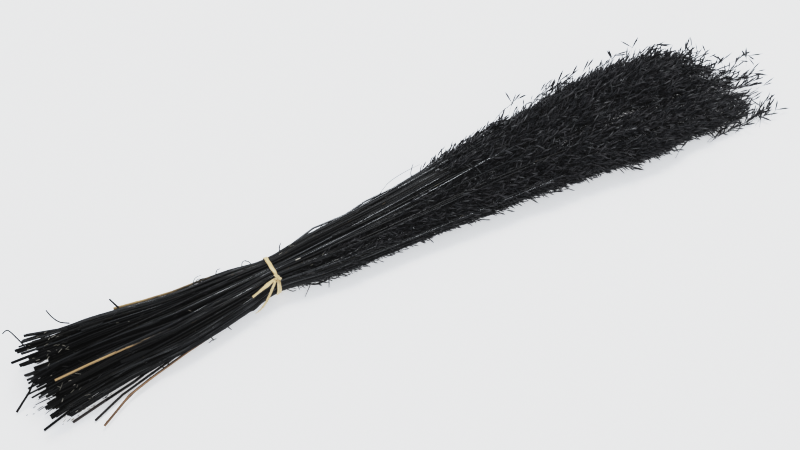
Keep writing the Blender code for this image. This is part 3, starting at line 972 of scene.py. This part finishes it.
def spikelets_on(bases, directions, lengths, widths, scatter):
    """Copies of the spikelet blank, each from its base in its own direction."""
    beside = unit(np.cross(directions, unit(scatter.normal(size=directions.shape))))
    above = np.cross(directions, beside)
    lengths, widths = lengths[:, None, None], widths[:, None, None]
    shape = spikelet_blank.points
    across, upward, rise = (shape[:, side][None, :, None] for side in range(3))
    points = bases[:, None] + lengths * (rise + STALK) * directions[:, None]
    points = points + widths * (across * beside[:, None] + upward * above[:, None])
    points[..., 2] = np.maximum(points[..., 2], FLOOR_GAP + 0.0001 * (shape[:, 1] > 0))
    return points


def square(count):
    side = math.ceil(math.sqrt(count))
    return side, math.ceil(count / side)


def dyed_seed(name, dark, olive, pale, roughness):
    """Matt chaff, with a tone of its own for each spikelet."""
    finish, shader, tree = new_finish(name, dark, roughness)
    place = place_on(tree)
    husk = patches(tree, place, 3.0, scale=700.0)
    shade = reckoned(tree, "MULTIPLY_ADD", husk, 0.5, carried(tree, "tint", "Fac"))
    chaff = patches(tree, place, 2.0, scale=2600.0)
    feed(tree, shader, {
        "Base Color": steps_of(tree, shade, ((0.25, dark), (0.80, olive), (1.0, pale))),
        "Specular IOR Level": 0.6,
        "Normal": raised(tree, chaff, 0.4),
    })
    return finish


SEED_COLOURS = (0.0046, 0.0053, 0.0086), (0.0112, 0.0110, 0.0142), (0.062, 0.057, 0.061)
BRANCH_COLOURS = (0.006, 0.006, 0.007), (0.010, 0.009, 0.009), (0.02, 0.017, 0.013)
seed_finish = dyed_seed("dyed_seed", *SEED_COLOURS, 0.40)
branch_finish = dyed_seed("dyed_branch", *BRANCH_COLOURS, 0.5)


def seed_heads(name, branches, per_branch, scatter, seeds_from=0.10, size=1.0):
    """The spikelets and the hair-thin stalks of some branches, in one mesh each."""
    share = np.broadcast_to(hair_blank.points[:, 2][None], (branches.count, len(hair_blank.points)))
    before, after = branches.points(share - 0.02), branches.points(share + 0.02)
    radius = BRANCH_RADIUS * (1 - 0.6 * share)
    hair_points = wrapped(hair_blank, branches.points(share), before, after, radius)
    tints = scatter.uniform(0, 1, branches.count)
    hairs = copies_of(name + "_branches", hair_blank, hair_points, square(branches.count), tints)
    many = (branches.count, per_branch)
    steps = (np.arange(per_branch)[None] + scatter.uniform(0, 1, many)) / per_branch
    share = seeds_from + (0.98 - seeds_from) * steps
    bases = branches.points(share)
    ahead = unit(branches.points(share + 0.05) - branches.points(share - 0.05))
    sideways = unit(np.cross(ahead, np.broadcast_to(branches.out, ahead.shape)))
    swing = scatter.uniform(-ASIDE, ASIDE, many)[..., None]
    aside = unit(sideways * swing + branches.out * scatter.uniform(-0.3, 1.0, many)[..., None])
    low, high = SPIKELET_LEAN
    lean = low + (high - low) * scatter.uniform(0, 1, many) ** 1.5
    sticks_out = scatter.uniform(0, 1, many) < STICKING_OUT
    lean = np.where(sticks_out, scatter.uniform(*STICKING_LEAN, many), lean)[..., None]
    directions = unit(ahead * np.cos(lean) + aside * np.sin(lean))
    grown = ramp(bases[..., 0] - CUT_ENDS_X, *GROWING)
    lengths = scatter.uniform(*SPIKELET_LENGTH, many) * (LEAST_LENGTH + (1 - LEAST_LENGTH) * grown)
    widths = scatter.uniform(*SPIKELET_WIDTH, many) * (LEAST_WIDTH + (1 - LEAST_WIDTH) * grown)
    lengths, widths = size * lengths.ravel(), size * widths.ravel()
    bases, directions = bases.reshape(-1, 3), directions.reshape(-1, 3)
    points = spikelets_on(bases, directions, lengths, widths, scatter)
    tints = scatter.uniform(0, 1, len(points))
    made = copies_of(name, spikelet_blank, points, square(len(points)), tints, smooth=False)
    made.data.materials.append(seed_finish)
    hairs.data.materials.append(branch_finish)
    for piece in (made, hairs):
        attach(piece, "root")


# The plants by their place in the bunch: branches for each step, how far these stand off, how far
# they swing to the sides, and spikelets on each. An open fringe stands out on the far side.
FRINGE_FROM = 0.50
SWING = math.radians(62)
in_ring = {side: on_side(side, range(OUTER_STRAWS)) for side in ("far", "top", "near", "under")}
seen = outer.chosen(in_ring["far"] + in_ring["top"] + in_ring["near"])
next_to_ring = inner.chosen(np.nonzero(inner_shares > 0.7)[0])
middle = inner.chosen(np.nonzero(inner_shares < 0.7)[0])
fringe = outer.chosen(in_ring["far"])
fringe.seeds_from[:] = FRINGE_FROM
HEADS = [(side, outer.chosen(rows), 2.0, NEAR_SURFACE, SWING, 8) for side, rows in in_ring.items()]
HEADS += [
    ("crossing", crossing, 0.78, NEAR_SURFACE, SWING, 7),
    ("inner", next_to_ring, 0.9, NEAR_SURFACE, SWING, 6),
    ("middle", middle, 0.32, NEAR_SURFACE, None, 6),
    ("loose", seen, 0.35, STANDING_OFF, math.radians(40), 4),
    ("fringe", fringe, 0.75, FRINGE_OFF, math.radians(32), 5),
]
for number, (part, straws, per_place, stand_off, sideways, per_branch) in enumerate(HEADS):
    head_scatter = np.random.default_rng(50 + number)
    branches = Branches(straws, per_place, stand_off, sideways, head_scatter)
    seed_heads(f"seed_heads_{part}", branches, per_branch, head_scatter)

# The tips of sprays stand back by the length of a spikelet and stay between two corners. Their
# feet stay above the table, and each is a little arched.
SPRAY_OVERHANG = 0.0080
SPRAY_LOW = (-1.0, -0.0575, 0.001)
SPRAY_HIGH = (0.3750, 0.0525, 0.050)
SPRAY_FOOT = 0.002
SPRAY_ARCH = 0.0020


class Sprays:
    """Single branches that stand clear of the rest. Each row gives where one ends, its heading in
    plan and its length. Their feet lie lower than their tips by the drop."""

    def __init__(self, rows, stretch, drop):
        along, side, height, headings, lengths = np.array(rows, float).T
        self.count = len(rows)
        headings = np.radians(headings)
        tips = np.stack([along, side, height], axis=-1) / 1000 + np.array([CUT_ENDS_X, 0.0, 0.0])
        self.ahead = np.stack([np.cos(headings), np.sin(headings), 0 * headings], axis=-1)
        self.tips = np.clip(tips - self.ahead * SPRAY_OVERHANG, SPRAY_LOW, SPRAY_HIGH)
        self.feet = self.tips - self.ahead * (lengths / 1000 * stretch)[:, None]
        self.feet[:, 2] = np.maximum(self.feet[:, 2] - drop, SPRAY_FOOT)
        out = [-0.6 * self.ahead[:, 1], 0.6 * self.ahead[:, 0], 0.8 + 0 * headings]
        self.out = np.stack(out, axis=-1)[:, None]

    def points(self, share):
        line = self.feet[:, None] + (self.tips - self.feet)[:, None] * share[..., None]
        line[..., 2] += SPRAY_ARCH * np.sin(np.pi * share)
        line[..., 2] = np.maximum(line[..., 2], LOWEST_BRANCH)
        return line


# Single spikelets and thin sprays seen round the edges: along, side and height of the tip in
# millimetres, heading in degrees and length in millimetres.
SINGLE_SPRAYS = (
    (616.3, 60, 30, 53, 10), (626.7, 47.4, 30, 62, 12), (635.5, 44, 30, 8, 14),
    (642.8, 40.1, 30, -20, 12), (658.4, 26.8, 30, 74, 14), (669.1, 29.9, 30, 25, 16),
    (660, 33, 30, 45, 12), (670.7, 18.1, 28, 30, 14), (678, 19.2, 28, 22, 14),
    (683, 12, 26, 64, 12), (705.6, 5.4, 22, 66, 9), (715, -4, 18, -24, 10),
    (715.3, -9, 16, -112, 6), (706, -8, 18, -34, 10), (699, 1, 20, 30, 12),
    (711.9, -25.5, 12, -46, 10), (716, -21, 13, -30, 12), (717, -33.9, 10, -14, 8),
    (706.3, -46.8, 8, 34, 8), (709, -45, 8, 8, 7), (711.2, -54.2, 8, 22, 9),
    (697.6, -42.9, 9, -28, 14), (690.7, -54.2, 6, 54, 8), (691.4, -60, 6, -40, 10),
    (699.8, -65.6, 5, -16, 10), (695, -61, 6, 20, 10), (681.1, -55.7, 5, 4, 12),
    (673.8, -62, 4, 8, 8), (653, -57.1, 4, -30, 10), (640, -50.2, 4, -62, 9), (646, -52, 4, 10, 8),
    (625.8, -43.3, 5, -20, 10), (607.2, -48.4, 6, -58, 10), (610, -47, 6, 30, 9),
    (580.9, -41.8, 8, -30, 10), (562.6, -46.1, 6, -10, 10), (524.3, 56, 28, 24, 14),
    (539.9, 56.4, 28, 30, 12), (555.2, 56.9, 28, 10, 14), (570.2, 58.8, 28, 22, 13),
    (593.9, 58.7, 28, 60, 9), (489.9, 60, 30, 46, 14), (498.2, 60, 30, 8, 12),
    (473.4, 46.9, 28, 40, 14), (604, 56, 28, 0, 12),
)
# Full sprays that carry the head's dense end out to its lobes, given the same way.
FULL_SPRAYS = (
    (656, 25, 26, 6, 30), (664, 20, 26, 12, 30), (670, 10, 24, 4, 32), (660, 14, 26, 8, 32),
    (678, 4, 22, 0, 32), (685, -2, 20, -2, 34), (680, -8, 22, -6, 34), (690, -10, 20, 2, 36),
    (695, -13, 18, -4, 36), (702, -17, 16, -8, 38), (706, -20, 15, -12, 34),
    (710, -22.5, 14, -16, 30), (700, -21, 15, -10, 36), (696, -28, 14, -16, 34),
    (704, -30, 12, -18, 32), (690, -33, 12, -14, 34), (698, -37, 10, -18, 30),
    (686, -39, 10, -12, 32), (692, -45, 8, -14, 30), (680, -46, 8, -10, 32), (686, -52, 7, -8, 26),
    (666, -54.8, 6, 2, 20), (670, -56, 6, -2, 18), (644, 33, 28, 14, 28), (634, 38, 28, 20, 26),
    (622, 42, 28, 24, 26), (668, -4, 26, -4, 34), (628, 45, 28, 40, 22), (636, 42.5, 28, 35, 22),
    (648, 36, 28, 30, 24), (656, 31, 28, 30, 22), (662, 28, 27, 20, 22), (670, 22, 26, 25, 24),
    (678, 15, 24, 20, 24), (608, 49, 28, 35, 20), (708, -30, 12, -14, 24), (712, -26, 13, -8, 22),
    (704, -44, 8, 20, 22), (696, -52, 7, 8, 20), (709, -50, 8, 10, 18), (690, 6, 22, 12, 22),
    (698, -6, 19, 4, 24), (590, -44, 8, -24, 18), (578, -43, 10, -16, 18), (599, -45, 7, -30, 16),
)

spray_scatter = np.random.default_rng(71)
seed_heads("seed_heads_single", Sprays(SINGLE_SPRAYS, 1.0, 0.004), 2, spray_scatter, 0.45, 1.45)
seed_heads("seed_heads_lobes", Sprays(FULL_SPRAYS, 1.3, 0.006), 12, spray_scatter, 0.12, 1.15)


# Stray ends. One straw bends out of the cut ends down to the table, two thin stalks and a broken
# stub stand out of the far side. They are straws like the others, caught in the bunch.
def through(points, share):
    """Places at shares of the way along a smooth line through the points."""
    points = np.asarray(points, float)
    last = len(points) - 1
    place = np.clip(share, 0.0, 1.0) * last
    low = np.minimum(place.astype(int), last - 1)
    t = (place - low)[..., None]
    before, high, after = np.maximum(low - 1, 0), low + 1, np.minimum(low + 2, last)
    leaving = (points[high] - points[before]) / 2
    arriving = (points[after] - points[low]) / 2
    line = (2 * t**3 - 3 * t**2 + 1) * points[low] + (t**3 - 2 * t**2 + t) * leaving
    line = line + (3 * t**2 - 2 * t**3) * points[high] + (t**3 - t**2) * arriving
    return line + np.array([CUT_ENDS_X, 0.0, 0.0])


def bent_straw(name, points, outer_radius, inner_radius, finishes, tint):
    """A copy of the straw blank along a bent line, its cut end first."""
    share = straw_blank.points[:, 2][None]
    line = through(points, share)
    before, after = through(points, share - 0.01), through(points, share + 0.01)
    radius = outer_radius + (inner_radius - outer_radius) * share
    placed = wrapped(straw_blank, line, before, after, radius)
    along = line[..., 0] + line[..., 1]
    made = straw_mesh(name, placed, along, radius, tint, np.array([tint]), finishes)
    return made


# Radius at the outer and the inner end, finishes, tone, and points (along, side, height).
RED_BROWN = (0.045, 0.016, 0.012)
stray_skin = dyed_straw("stray_straw", THIN_BLACK, RED_BROWN, SCUFFED, 0.80, 0.45, 0.4)
stray_rim = cut_face("stray_straw_cut", (0.03, 0.015, 0.012), (0.08, 0.05, 0.03))
STRAY_STRAWS = {
    "stray_stem": (0.00110, 0.00080, (stray_skin, stray_rim), 0.60, (
        (-0.0240, -0.0040, 0.0030), (-0.0160, -0.0010, 0.0090), (-0.0080, 0.0020, 0.0150),
        (-0.0020, 0.0050, 0.0210),
    )),
    "thin_stalk_1": (0.00050, 0.00062, (dyed_skin, dyed_rim), 0.30, (
        (-0.0070, 0.0490, 0.0410), (-0.0020, 0.0510, 0.0385), (0.0020, 0.0415, 0.0380),
        (0.0050, 0.0315, 0.0385),
    )),
    "thin_stalk_2": (0.00050, 0.00060, (dyed_skin, dyed_rim), 0.70, (
        (0.0330, 0.0533, 0.0385), (0.0350, 0.0465, 0.0365), (0.0390, 0.0395, 0.0355),
        (0.0460, 0.0345, 0.0355),
    )),
    "broken_stub": (0.00070, 0.00085, (dyed_skin, dyed_rim), 0.40, (
        (0.0840, 0.0370, 0.0402), (0.0860, 0.0320, 0.0386), (0.0880, 0.0275, 0.0368),
    )),
}
for name, (outer_radius, inner_radius, finishes, tint, points) in STRAY_STRAWS.items():
    dressed_name = name.replace("stem", "straw") + "_dressed"
    made = bent_straw(dressed_name, points, outer_radius, inner_radius, finishes, tint)
    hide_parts(name)


# Tie. One flat strand of pale raffia goes twice round the bunch, is knotted on the near upper side
# and leaves two free tails. It is a dried leaf strip, folded lengthwise, with fine fibres along it.
BAND_SKEW = -0.0010
BAND_CLEAR = 0.0012
KNOT_TURN = math.radians(126)
KNOT_AT = TIE_AT + 0.0008
KNOT_PULL = 0.0014
KNOT_PULL_REACH = 0.7
PART_REACH = 0.75
RAFFIA_THICKNESS = 0.00040
RAFFIA_CUTS_ACROSS = 6
RAFFIA_CREASE = math.radians(35)
FOLD_DEPTH = 0.00022
FRAYED_EDGE = 0.00008
WAVY = 0.00006
NARROW_BY_KNOT = 0.25
NARROW_REACH = 0.05
TAIL_CLEAR = 0.0014


def strand(name, line_at, outward_at, half_width_at, length, cuts):
    """A flat strand: a grid laid along a line, creased along it, and given its thickness."""
    bpy.ops.mesh.primitive_grid_add(
        x_subdivisions=cuts, y_subdivisions=RAFFIA_CUTS_ACROSS, size=2.0, location=(0.0, 0.0, 0.0)
    )
    made = bpy.context.active_object
    made.name = name
    grain = made.data.attributes.new("grain", "FLOAT_VECTOR", "POINT")
    ripple = random.Random(name)
    waves = [(ripple.uniform(0, math.tau), ripple.uniform(5, 13)) for _ in range(4)]
    for k, corner in enumerate(made.data.vertices):
        share, across = (corner.co.x + 1) / 2, corner.co.y
        centre = Vector(line_at(share))
        ahead = Vector(line_at(min(share + 0.01, 1.0))) - Vector(line_at(max(share - 0.01, 0.0)))
        outward = Vector(outward_at(share))
        beside = outward.cross(ahead).normalized()
        half_width = half_width_at(share)
        edge = sum(math.sin(phase + rate * share * 6) for phase, rate in waves[:2]) * FRAYED_EDGE
        fold = FOLD_DEPTH * (abs(across - 0.25) * 1.1 - 0.5)
        wave = sum(math.sin(phase + rate * share * 5) for phase, rate in waves[2:]) * WAVY
        corner.co = centre + beside * (across * half_width + edge) + outward * (fold + wave * across)
        grain.data[k].vector = (share * length, across * half_width, waves[0][0])
    alone(made)
    wall = made.modifiers.new("thickness", "SOLIDIFY")
    wall.thickness = RAFFIA_THICKNESS
    wall.offset = 1.0
    bpy.ops.object.modifier_apply(modifier=wall.name)
    bpy.ops.object.shade_smooth_by_angle(angle=RAFFIA_CREASE)
    return made


def outward_from(turn):
    return 0.0, math.cos(turn), math.sin(turn)


def over_sheaf(along, turn, clear):
    """A point a little clear of the sheaf's surface."""
    half_width, half_height, middle, bend = (float(value) for value in sheaf(np.array(along)))
    y = bend + (half_width + clear) * math.cos(turn)
    return CUT_ENDS_X + along, y, middle + (half_height + clear) * math.sin(turn)


def winding(name, offset, gap_turn, half_width, lift):
    """One turn of the strand round the bunch. It leaves the other turn on the near side."""
    def turn_at(share):
        return KNOT_TURN + share * math.tau

    def line_at(share):
        turn = turn_at(share)
        skew = BAND_SKEW * (math.cos(turn - KNOT_TURN) - 0.4)
        apart = offset * math.exp(-(((turn - gap_turn) / PART_REACH) ** 2))
        from_knot = min(share, 1 - share) * math.tau
        pulled = KNOT_PULL * math.exp(-((from_knot / KNOT_PULL_REACH) ** 2))
        return over_sheaf(TIE_AT + skew + apart + pulled, turn, BAND_CLEAR + lift)

    def half_width_at(share):
        by_knot = sum(math.exp(-((way / NARROW_REACH) ** 2)) for way in (share, 1 - share))
        return half_width * (1 - NARROW_BY_KNOT * by_knot)

    return strand(name, line_at, lambda share: outward_from(turn_at(share)), half_width_at, 0.10, 96)


def tail_strand(name, length, end_turn, lift, half_widths):
    """A free end, from the knot back over the straws towards the cut ends."""
    def turn_at(share):
        return KNOT_TURN + (end_turn - KNOT_TURN) * max(share, 0.0)

    def line_at(share):
        clear = TAIL_CLEAR * (1 + math.sin(math.pi * share)) + lift * share
        return over_sheaf(KNOT_AT - length * share, turn_at(share), clear)

    def half_width_at(share):
        return float(np.interp(share, np.linspace(0, 1, len(half_widths)), half_widths))

    return strand(name, line_at, lambda share: outward_from(turn_at(share)), half_width_at, length, 30)


LONG_TAIL_WIDTHS = (0.0008, 0.0014, 0.0019, 0.0014, 0.0011, 0.0012)
DROOPING_TAIL_WIDTHS = (0.0009, 0.0012, 0.0013, 0.0013, 0.0012, 0.0010)
tie_pieces = [
    winding("winding_wide", -0.0014, math.radians(200), 0.00185, 0.0),
    winding("winding_narrow", -0.0034, math.radians(195), 0.00120, 0.00035),
    tail_strand("long_tail", 0.0262, math.radians(139), 0.0004, LONG_TAIL_WIDTHS),
    tail_strand("drooping_tail", 0.0278, math.radians(200), 0.0030, DROOPING_TAIL_WIDTHS),
]

# The knot: the strand drawn tight over itself, a flattened lump with two folds across it, and two
# short stretches of strand that cross over it.
KNOT_SIZE = (0.0019, 0.0024, 0.00125)
KNOT_GRAIN = 0.003
bpy.ops.object.select_all(action="DESELECT")
bpy.ops.mesh.primitive_uv_sphere_add(segments=28, ring_count=18, radius=1.0, location=(0.0, 0.0, 0.0))
knot = bpy.context.active_object
knot.name = "knot"
knot_grain = knot.data.attributes.new("grain", "FLOAT_VECTOR", "POINT")
knot_out = Vector(outward_from(KNOT_TURN))
knot_along = Vector((1.0, 0.0, 0.0))
knot_down = knot_out.cross(knot_along)
knot_centre = Vector(over_sheaf(KNOT_AT, KNOT_TURN, BAND_CLEAR + 0.0012))


def by_knot(along, down, rise):
    """A place in the knot's own directions."""
    return knot_centre + knot_along * along + knot_down * down + knot_out * rise


for k, corner in enumerate(knot.data.vertices):
    x, y, z = corner.co
    folds = 1 + 0.10 * math.cos(9 * x + 5 * y) - 0.16 * math.exp(-(((x - 0.7 * y) / 0.16) ** 2))
    knot_grain.data[k].vector = (KNOT_GRAIN * (x + y), KNOT_GRAIN * (x - y), KNOT_GRAIN * z + 0.5)
    corner.co = by_knot(*(folds * size * reach for size, reach in zip(KNOT_SIZE, (x, y, z))))
alone(knot)
bpy.ops.object.shade_smooth()
tie_pieces.append(knot)


def wrap_over_knot(name, from_point, to_point, height, half_width):
    """A short stretch of strand that crosses over the knot."""
    def line_at(share):
        along = from_point[0] + (to_point[0] - from_point[0]) * share
        down = from_point[1] + (to_point[1] - from_point[1]) * share
        return by_knot(along, down, height * (1 - abs(2 * share - 1) ** 2.4))

    return strand(name, line_at, lambda share: knot_out, lambda share: half_width, 0.007, 16)


tie_pieces.append(wrap_over_knot("wrap_1", (0.0022, -0.0026), (-0.0012, 0.0034), 0.0016, 0.00125))
tie_pieces.append(wrap_over_knot("wrap_2", (-0.0024, -0.0006), (0.0015, 0.0013), 0.0011, 0.00095))

# Raffia is pale straw yellow, with darker fibres, faint stains and a dull shine along the strand.
RAFFIA_PALE = (0.74, 0.60, 0.40)
RAFFIA_DEEP = (0.54, 0.41, 0.23)
RAFFIA_BRIGHT = (0.80, 0.70, 0.50)
STAINED = (0.78, 0.72, 0.60)
raffia, raffia_shader, tree = new_finish("raffia", RAFFIA_PALE, 0.48)
raffia_grain = carried(tree, "grain", "Vector")
raffia_fibres = patches(tree, raffia_grain, 4.0, (60.0, 2600.0, 5.0))
fibre_colours = ((0.30, RAFFIA_DEEP), (0.56, RAFFIA_PALE), (0.85, RAFFIA_BRIGHT))
stains = patches(tree, raffia_grain, 2.0, (120.0, 260.0, 5.0))
stains = steps_of(tree, stains, ((0.35, STAINED), (0.60, (1.0, 1.0, 1.0))))
feed(tree, raffia_shader, {
    "Base Color": mixed(tree, 0.5, steps_of(tree, raffia_fibres, fibre_colours), stains, "MULTIPLY"),
    "Specular IOR Level": 0.4,
    "Normal": raised(tree, raffia_fibres, 0.5),
})


def joined(name, pieces, finish):
    """Makes one piece of several that have the same finish."""
    bpy.ops.object.select_all(action="DESELECT")
    for piece in pieces:
        piece.data.materials.clear()
        piece.data.materials.append(finish)
        piece.select_set(True)
    bpy.context.view_layer.objects.active = pieces[0]
    bpy.ops.object.join()
    made = bpy.context.active_object
    made.name = name
    return made


tie = joined("raffia_strand", tie_pieces, raffia)
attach(tie, "root")
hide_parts("raffia_tie")


# Torn bits. Stripped leaf fibres, curled ends and broken spikelets have caught in the straws,
# mostly along the two edges, and a few crumbs have dropped out of the cut ends.
FIBRE_CUTS = 11
fibre_blank = Blank(new_blank(4, FIBRE_CUTS), lambda corner: 0.02 + 0.96 * corner[2])


def fibres(name, lines, finish):
    """Thin bits along bent lines, each with its own radius, in one mesh."""
    share = fibre_blank.points[:, 2][None]
    taper = 0.35 + 0.65 * np.sin(np.pi * (0.12 + 0.80 * share))
    placed = []
    for radius, line in lines:
        points = np.array(line) / 1000
        before, after = through(points, share - 0.02), through(points, share + 0.02)
        thin = radius / 1000 * taper
        placed.append(wrapped(fibre_blank, through(points, share), before, after, thin))
    tints = np.linspace(0.2, 0.9, len(lines))
    made = copies_of(name, fibre_blank, np.concatenate(placed), square(len(lines)), tints)
    made.data.materials.append(finish)
    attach(made, "root")


def curl(centre, size, height, turns, start):
    """A curled end: points round a shrinking, rising spiral, in millimetres."""
    points = []
    for share in np.linspace(0, 1, 9):
        angle = math.radians(start) + share * turns * math.tau
        reach = size * (1 - 0.55 * share)
        side = centre[1] + 0.7 * reach * math.sin(angle)
        points.append((centre[0] + reach * math.cos(angle), side, height + 2 * share))
    return points


# Radius and points (along, side, height) of each bit, in millimetres.
NEAR_EDGE_BITS = (
    (0.50, ((98, -22, 6), (101, -26, 5), (105, -25.5, 6), (110, -21, 9))),
    (0.60, ((104, -21, 9), (107, -24.5, 8), (111, -22, 8), (116, -18, 10))),
    (0.42, ((112, -17, 10), (118, -20, 8), (128, -18.5, 9), (138, -15, 12))),
    (0.45, ((143, -14, 10), (147, -18, 7), (149, -23, 4))),
    (0.34, ((144, -22.5, 3), (148, -21.5, 3), (152, -22, 3))),
    (0.45, ((160, -13, 10), (164, -17, 7), (166.5, -21.5, 5))),
    (0.45, ((181, -11, 10), (187, -14, 7), (194, -13.5, 7), (201, -12, 9))),
    (0.75, ((186, -12.5, 8), (190, -14.2, 7), (196, -13.4, 8))),
    (0.40, ((224, -10, 9), (228.5, -13.5, 6), (232, -14.0, 6))),
    (0.50, ((240, -12, 9), (247, -16, 6), (255, -17.6, 5), (262, -15, 6))),
    (0.72, ((245, -14.5, 6), (249, -16.4, 5), (254, -16.8, 5))),
    (0.80, ((252, -15.2, 6), (257, -17.4, 5), (262, -16.6, 5))),
    (0.30, ((247, -11, 6), (245, -14, 3), (241, -17.5, 2), (236, -21.5, 1))),
    (0.42, ((263, -13, 7), (261.5, -18, 5), (258.5, -24, 3))),
    (0.46, ((260, -15, 7), (266, -19.8, 6), (272, -18.5, 6), (274, -13, 9))),
    (0.34, ((268, -14, 7), (271, -17.2, 6), (278, -15.0, 8))),
    (0.55, ((278, -15, 7), (284, -18.5, 6), (291, -18.0, 6))),
    (0.42, ((288, -16, 7), (297, -20.2, 6), (306, -18.6, 7))),
    (0.50, ((300, -16, 8), (310, -20.0, 7), (317, -19.4, 7))),
    (0.42, ((316, -17, 9), (323, -21.6, 8), (330, -21.0, 8))),
)
FAR_EDGE_BITS = (
    (0.40, curl((158, 21.5), 5.0, 29.0, 1.1, 150)), (0.34, curl((161, 20.0), 4.2, 30.0, 0.9, 20)),
    (0.36, curl((155, 20.5), 3.6, 29.0, 1.2, 260)), (0.34, ((150, 17, 30), (156, 25, 31), (163, 25.5, 31))),
    (0.42, ((172, 18, 28), (176, 24.5, 28), (180, 25, 28))),
    (0.40, ((196, 16, 28), (199, 21.5, 28), (203, 21.8, 28))),
    (0.46, ((205, 15, 29), (204, 19.0, 29), (201, 21.5, 29))),
    (0.50, ((231, 14, 29), (233.6, 19.5, 29), (236.5, 22.5, 29))),
    (0.30, ((330, 22, 30), (345, 30, 31), (362, 33, 31), (379, 33.5, 31))),
    (0.34, ((366, 28, 30), (371, 34, 31), (374, 37, 31))),
    (0.30, ((455, 40, 30), (470, 47, 31), (484, 50, 31))),
)
CUT_END_BITS = (
    (0.46, ((14, -9, 10), (3, -8, 9), (-8, -7.7, 8))),
    (0.40, ((14, -13, 8), (4, -12, 7), (-7.8, -12.9, 6))),
    (0.34, ((12, -15, 6), (4, -16, 5), (-4, -17.5, 4))),
    (0.36, ((12, -5, 12), (4, -5.5, 11), (-4, -5.2, 10))),
    (0.26, ((-8.5, -9.3, 0.6), (-5.0, -8.6, 0.6), (-2.5, -8.7, 0.6))),
    (0.24, ((-11.0, -6.1, 0.5), (-9.0, -5.6, 0.5), (-8, -5.7, 0.5))),
    (0.30, ((-18.3, -9.2, 0.5), (-17.6, -9.5, 0.6), (-16.9, -9.2, 0.5))),
    (0.30, ((-13.2, -11.2, 0.5), (-12.3, -11.0, 0.5), (-11.5, -11.3, 0.5))),
    (0.60, ((16, 12, 39), (12, 11, 40), (8, 10.5, 41))),
    (0.42, ((18, 22, 37), (21, 23.5, 39), (25, 23, 38))),
)
fibres("bits_near_edge", NEAR_EDGE_BITS, branch_finish)
fibres("bits_far_edge", FAR_EDGE_BITS, branch_finish)
fibres("bits_cut_ends", CUT_END_BITS, stray_skin)

# Short bits of stalk and husk are caught all over the straws. The pale ones are painted glints,
# mostly by the cut ends and by the tie: from where to where, and the share of them.
CAUGHT_BITS = 230
BY_CUT_ENDS = (0.004, 0.045)
CAUGHT_UNTIL = 0.40
GLINTS_BY = ((0.004, 0.040, 0.55), (0.222, 0.262, 0.30), (0.040, 0.200, 0.10))
GLINTS_ELSEWHERE = 0.02
BIT_ARCH = 0.0001

# One pale husk lies on the straws just past the tie: along, turn, length, how clear and radius.
HUSK = (0.2385, math.radians(101), 0.0050, 0.0012, 0.62)


def bit_line(along, turn, length, clear, swing=0.0, arch=0.0, shares=(0.0, 0.5, 1.0)):
    """Points of a bit that lies over the straws, in millimetres."""
    places = [
        over_sheaf(along + length * share, turn + swing * share, clear + arch * math.sin(math.pi * share))
        for share in shares
    ]
    return tuple((1000 * (x - CUT_ENDS_X), 1000 * y, 1000 * z) for x, y, z in places)


def caught_bits(scatter):
    """The dark bits and the pale ones, painted glints, in the order in which they are drawn."""
    dark_bits, glint_bits_and_husk = [], []
    for _ in range(CAUGHT_BITS):
        by_cut_ends = scatter.random() < 0.35
        along = scatter.uniform(*(BY_CUT_ENDS if by_cut_ends else (BY_CUT_ENDS[1], CAUGHT_UNTIL)))
        turn = math.radians(scatter.uniform(35, 195))
        length = scatter.uniform(0.0012, 0.0048)
        swing = math.radians(scatter.gauss(0, 18)) * length / 0.02
        clear = scatter.uniform(0.0002, 0.0012)
        line = bit_line(along, turn, length, clear, swing, BIT_ARCH)
        shares = [share for low, high, share in GLINTS_BY if low <= along <= high]
        pale = scatter.random() < max(shares, default=GLINTS_ELSEWHERE)
        (glint_bits_and_husk if pale else dark_bits).append((scatter.uniform(0.18, 0.34), line))
    return dark_bits, glint_bits_and_husk


dark_bits, glint_bits_and_husk = caught_bits(random.Random(8))
glint_bits_and_husk.append((HUSK[-1], bit_line(*HUSK[:-1], shares=(0.0, 0.3, 0.7, 1.0))))
# Painted highlight: this pale finish makes the caught bits glint, and the husk past the tie wears it too.
husk_and_glint_finish = dyed_seed("husk_and_glint_finish", (0.13, 0.115, 0.095), (0.29, 0.265, 0.215), (0.50, 0.46, 0.40), 0.6)
fibres("bits_caught_dark", dark_bits, branch_finish)
fibres("bits_caught_glints_and_husk", glint_bits_and_husk, husk_and_glint_finish)

# Remnants of leaf sheaths, still wrapped round some of the straws: along, turn in degrees, length,
# half width and how far the torn end stands off.
SHEATHS = (
    (0.052, 62, 0.020, 0.0016, 0.0016), (0.070, 128, 0.026, 0.0017, 0.0010),
    (0.094, 92, 0.022, 0.0014, 0.0012), (0.118, 150, 0.020, 0.0015, 0.0014),
    (0.082, 168, 0.024, 0.0016, 0.0012), (0.140, 112, 0.018, 0.0013, 0.0010),
    (0.160, 76, 0.020, 0.0013, 0.0012), (0.250, 120, 0.018, 0.0012, 0.0010),
    (0.276, 84, 0.022, 0.0013, 0.0012),
)
SHEATH_CLEAR = 0.0006
SHEATH_TWIST = 0.05
SHEATH_COLOURS = (0.010, 0.009, 0.009), (0.022, 0.017, 0.012), (0.07, 0.05, 0.03)


def sheath(number, along, turn, length, half_width, lifted):
    """A dry leaf strip that wraps a straw, with a ragged end lifted off it."""
    turn = math.radians(turn)

    def line_at(share):
        clear = SHEATH_CLEAR + lifted * share**3
        return over_sheaf(along + length * share, turn + SHEATH_TWIST * share, clear)

    def half_width_at(share):
        return half_width * (0.55 + 0.45 * math.sin(math.pi * (0.15 + 0.7 * share)) - 0.45 * share**6)

    return strand(f"sheath_{number}", line_at, lambda share: outward_from(turn), half_width_at, length, 12)


sheath_skin = dyed_straw("torn_sheath", *SHEATH_COLOURS, 0.80, 0.55, 0.4)
sheaths = [sheath(number, *row) for number, row in enumerate(SHEATHS)]
torn_sheaths = joined("torn_sheaths", sheaths, sheath_skin)
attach(torn_sheaths, "root")
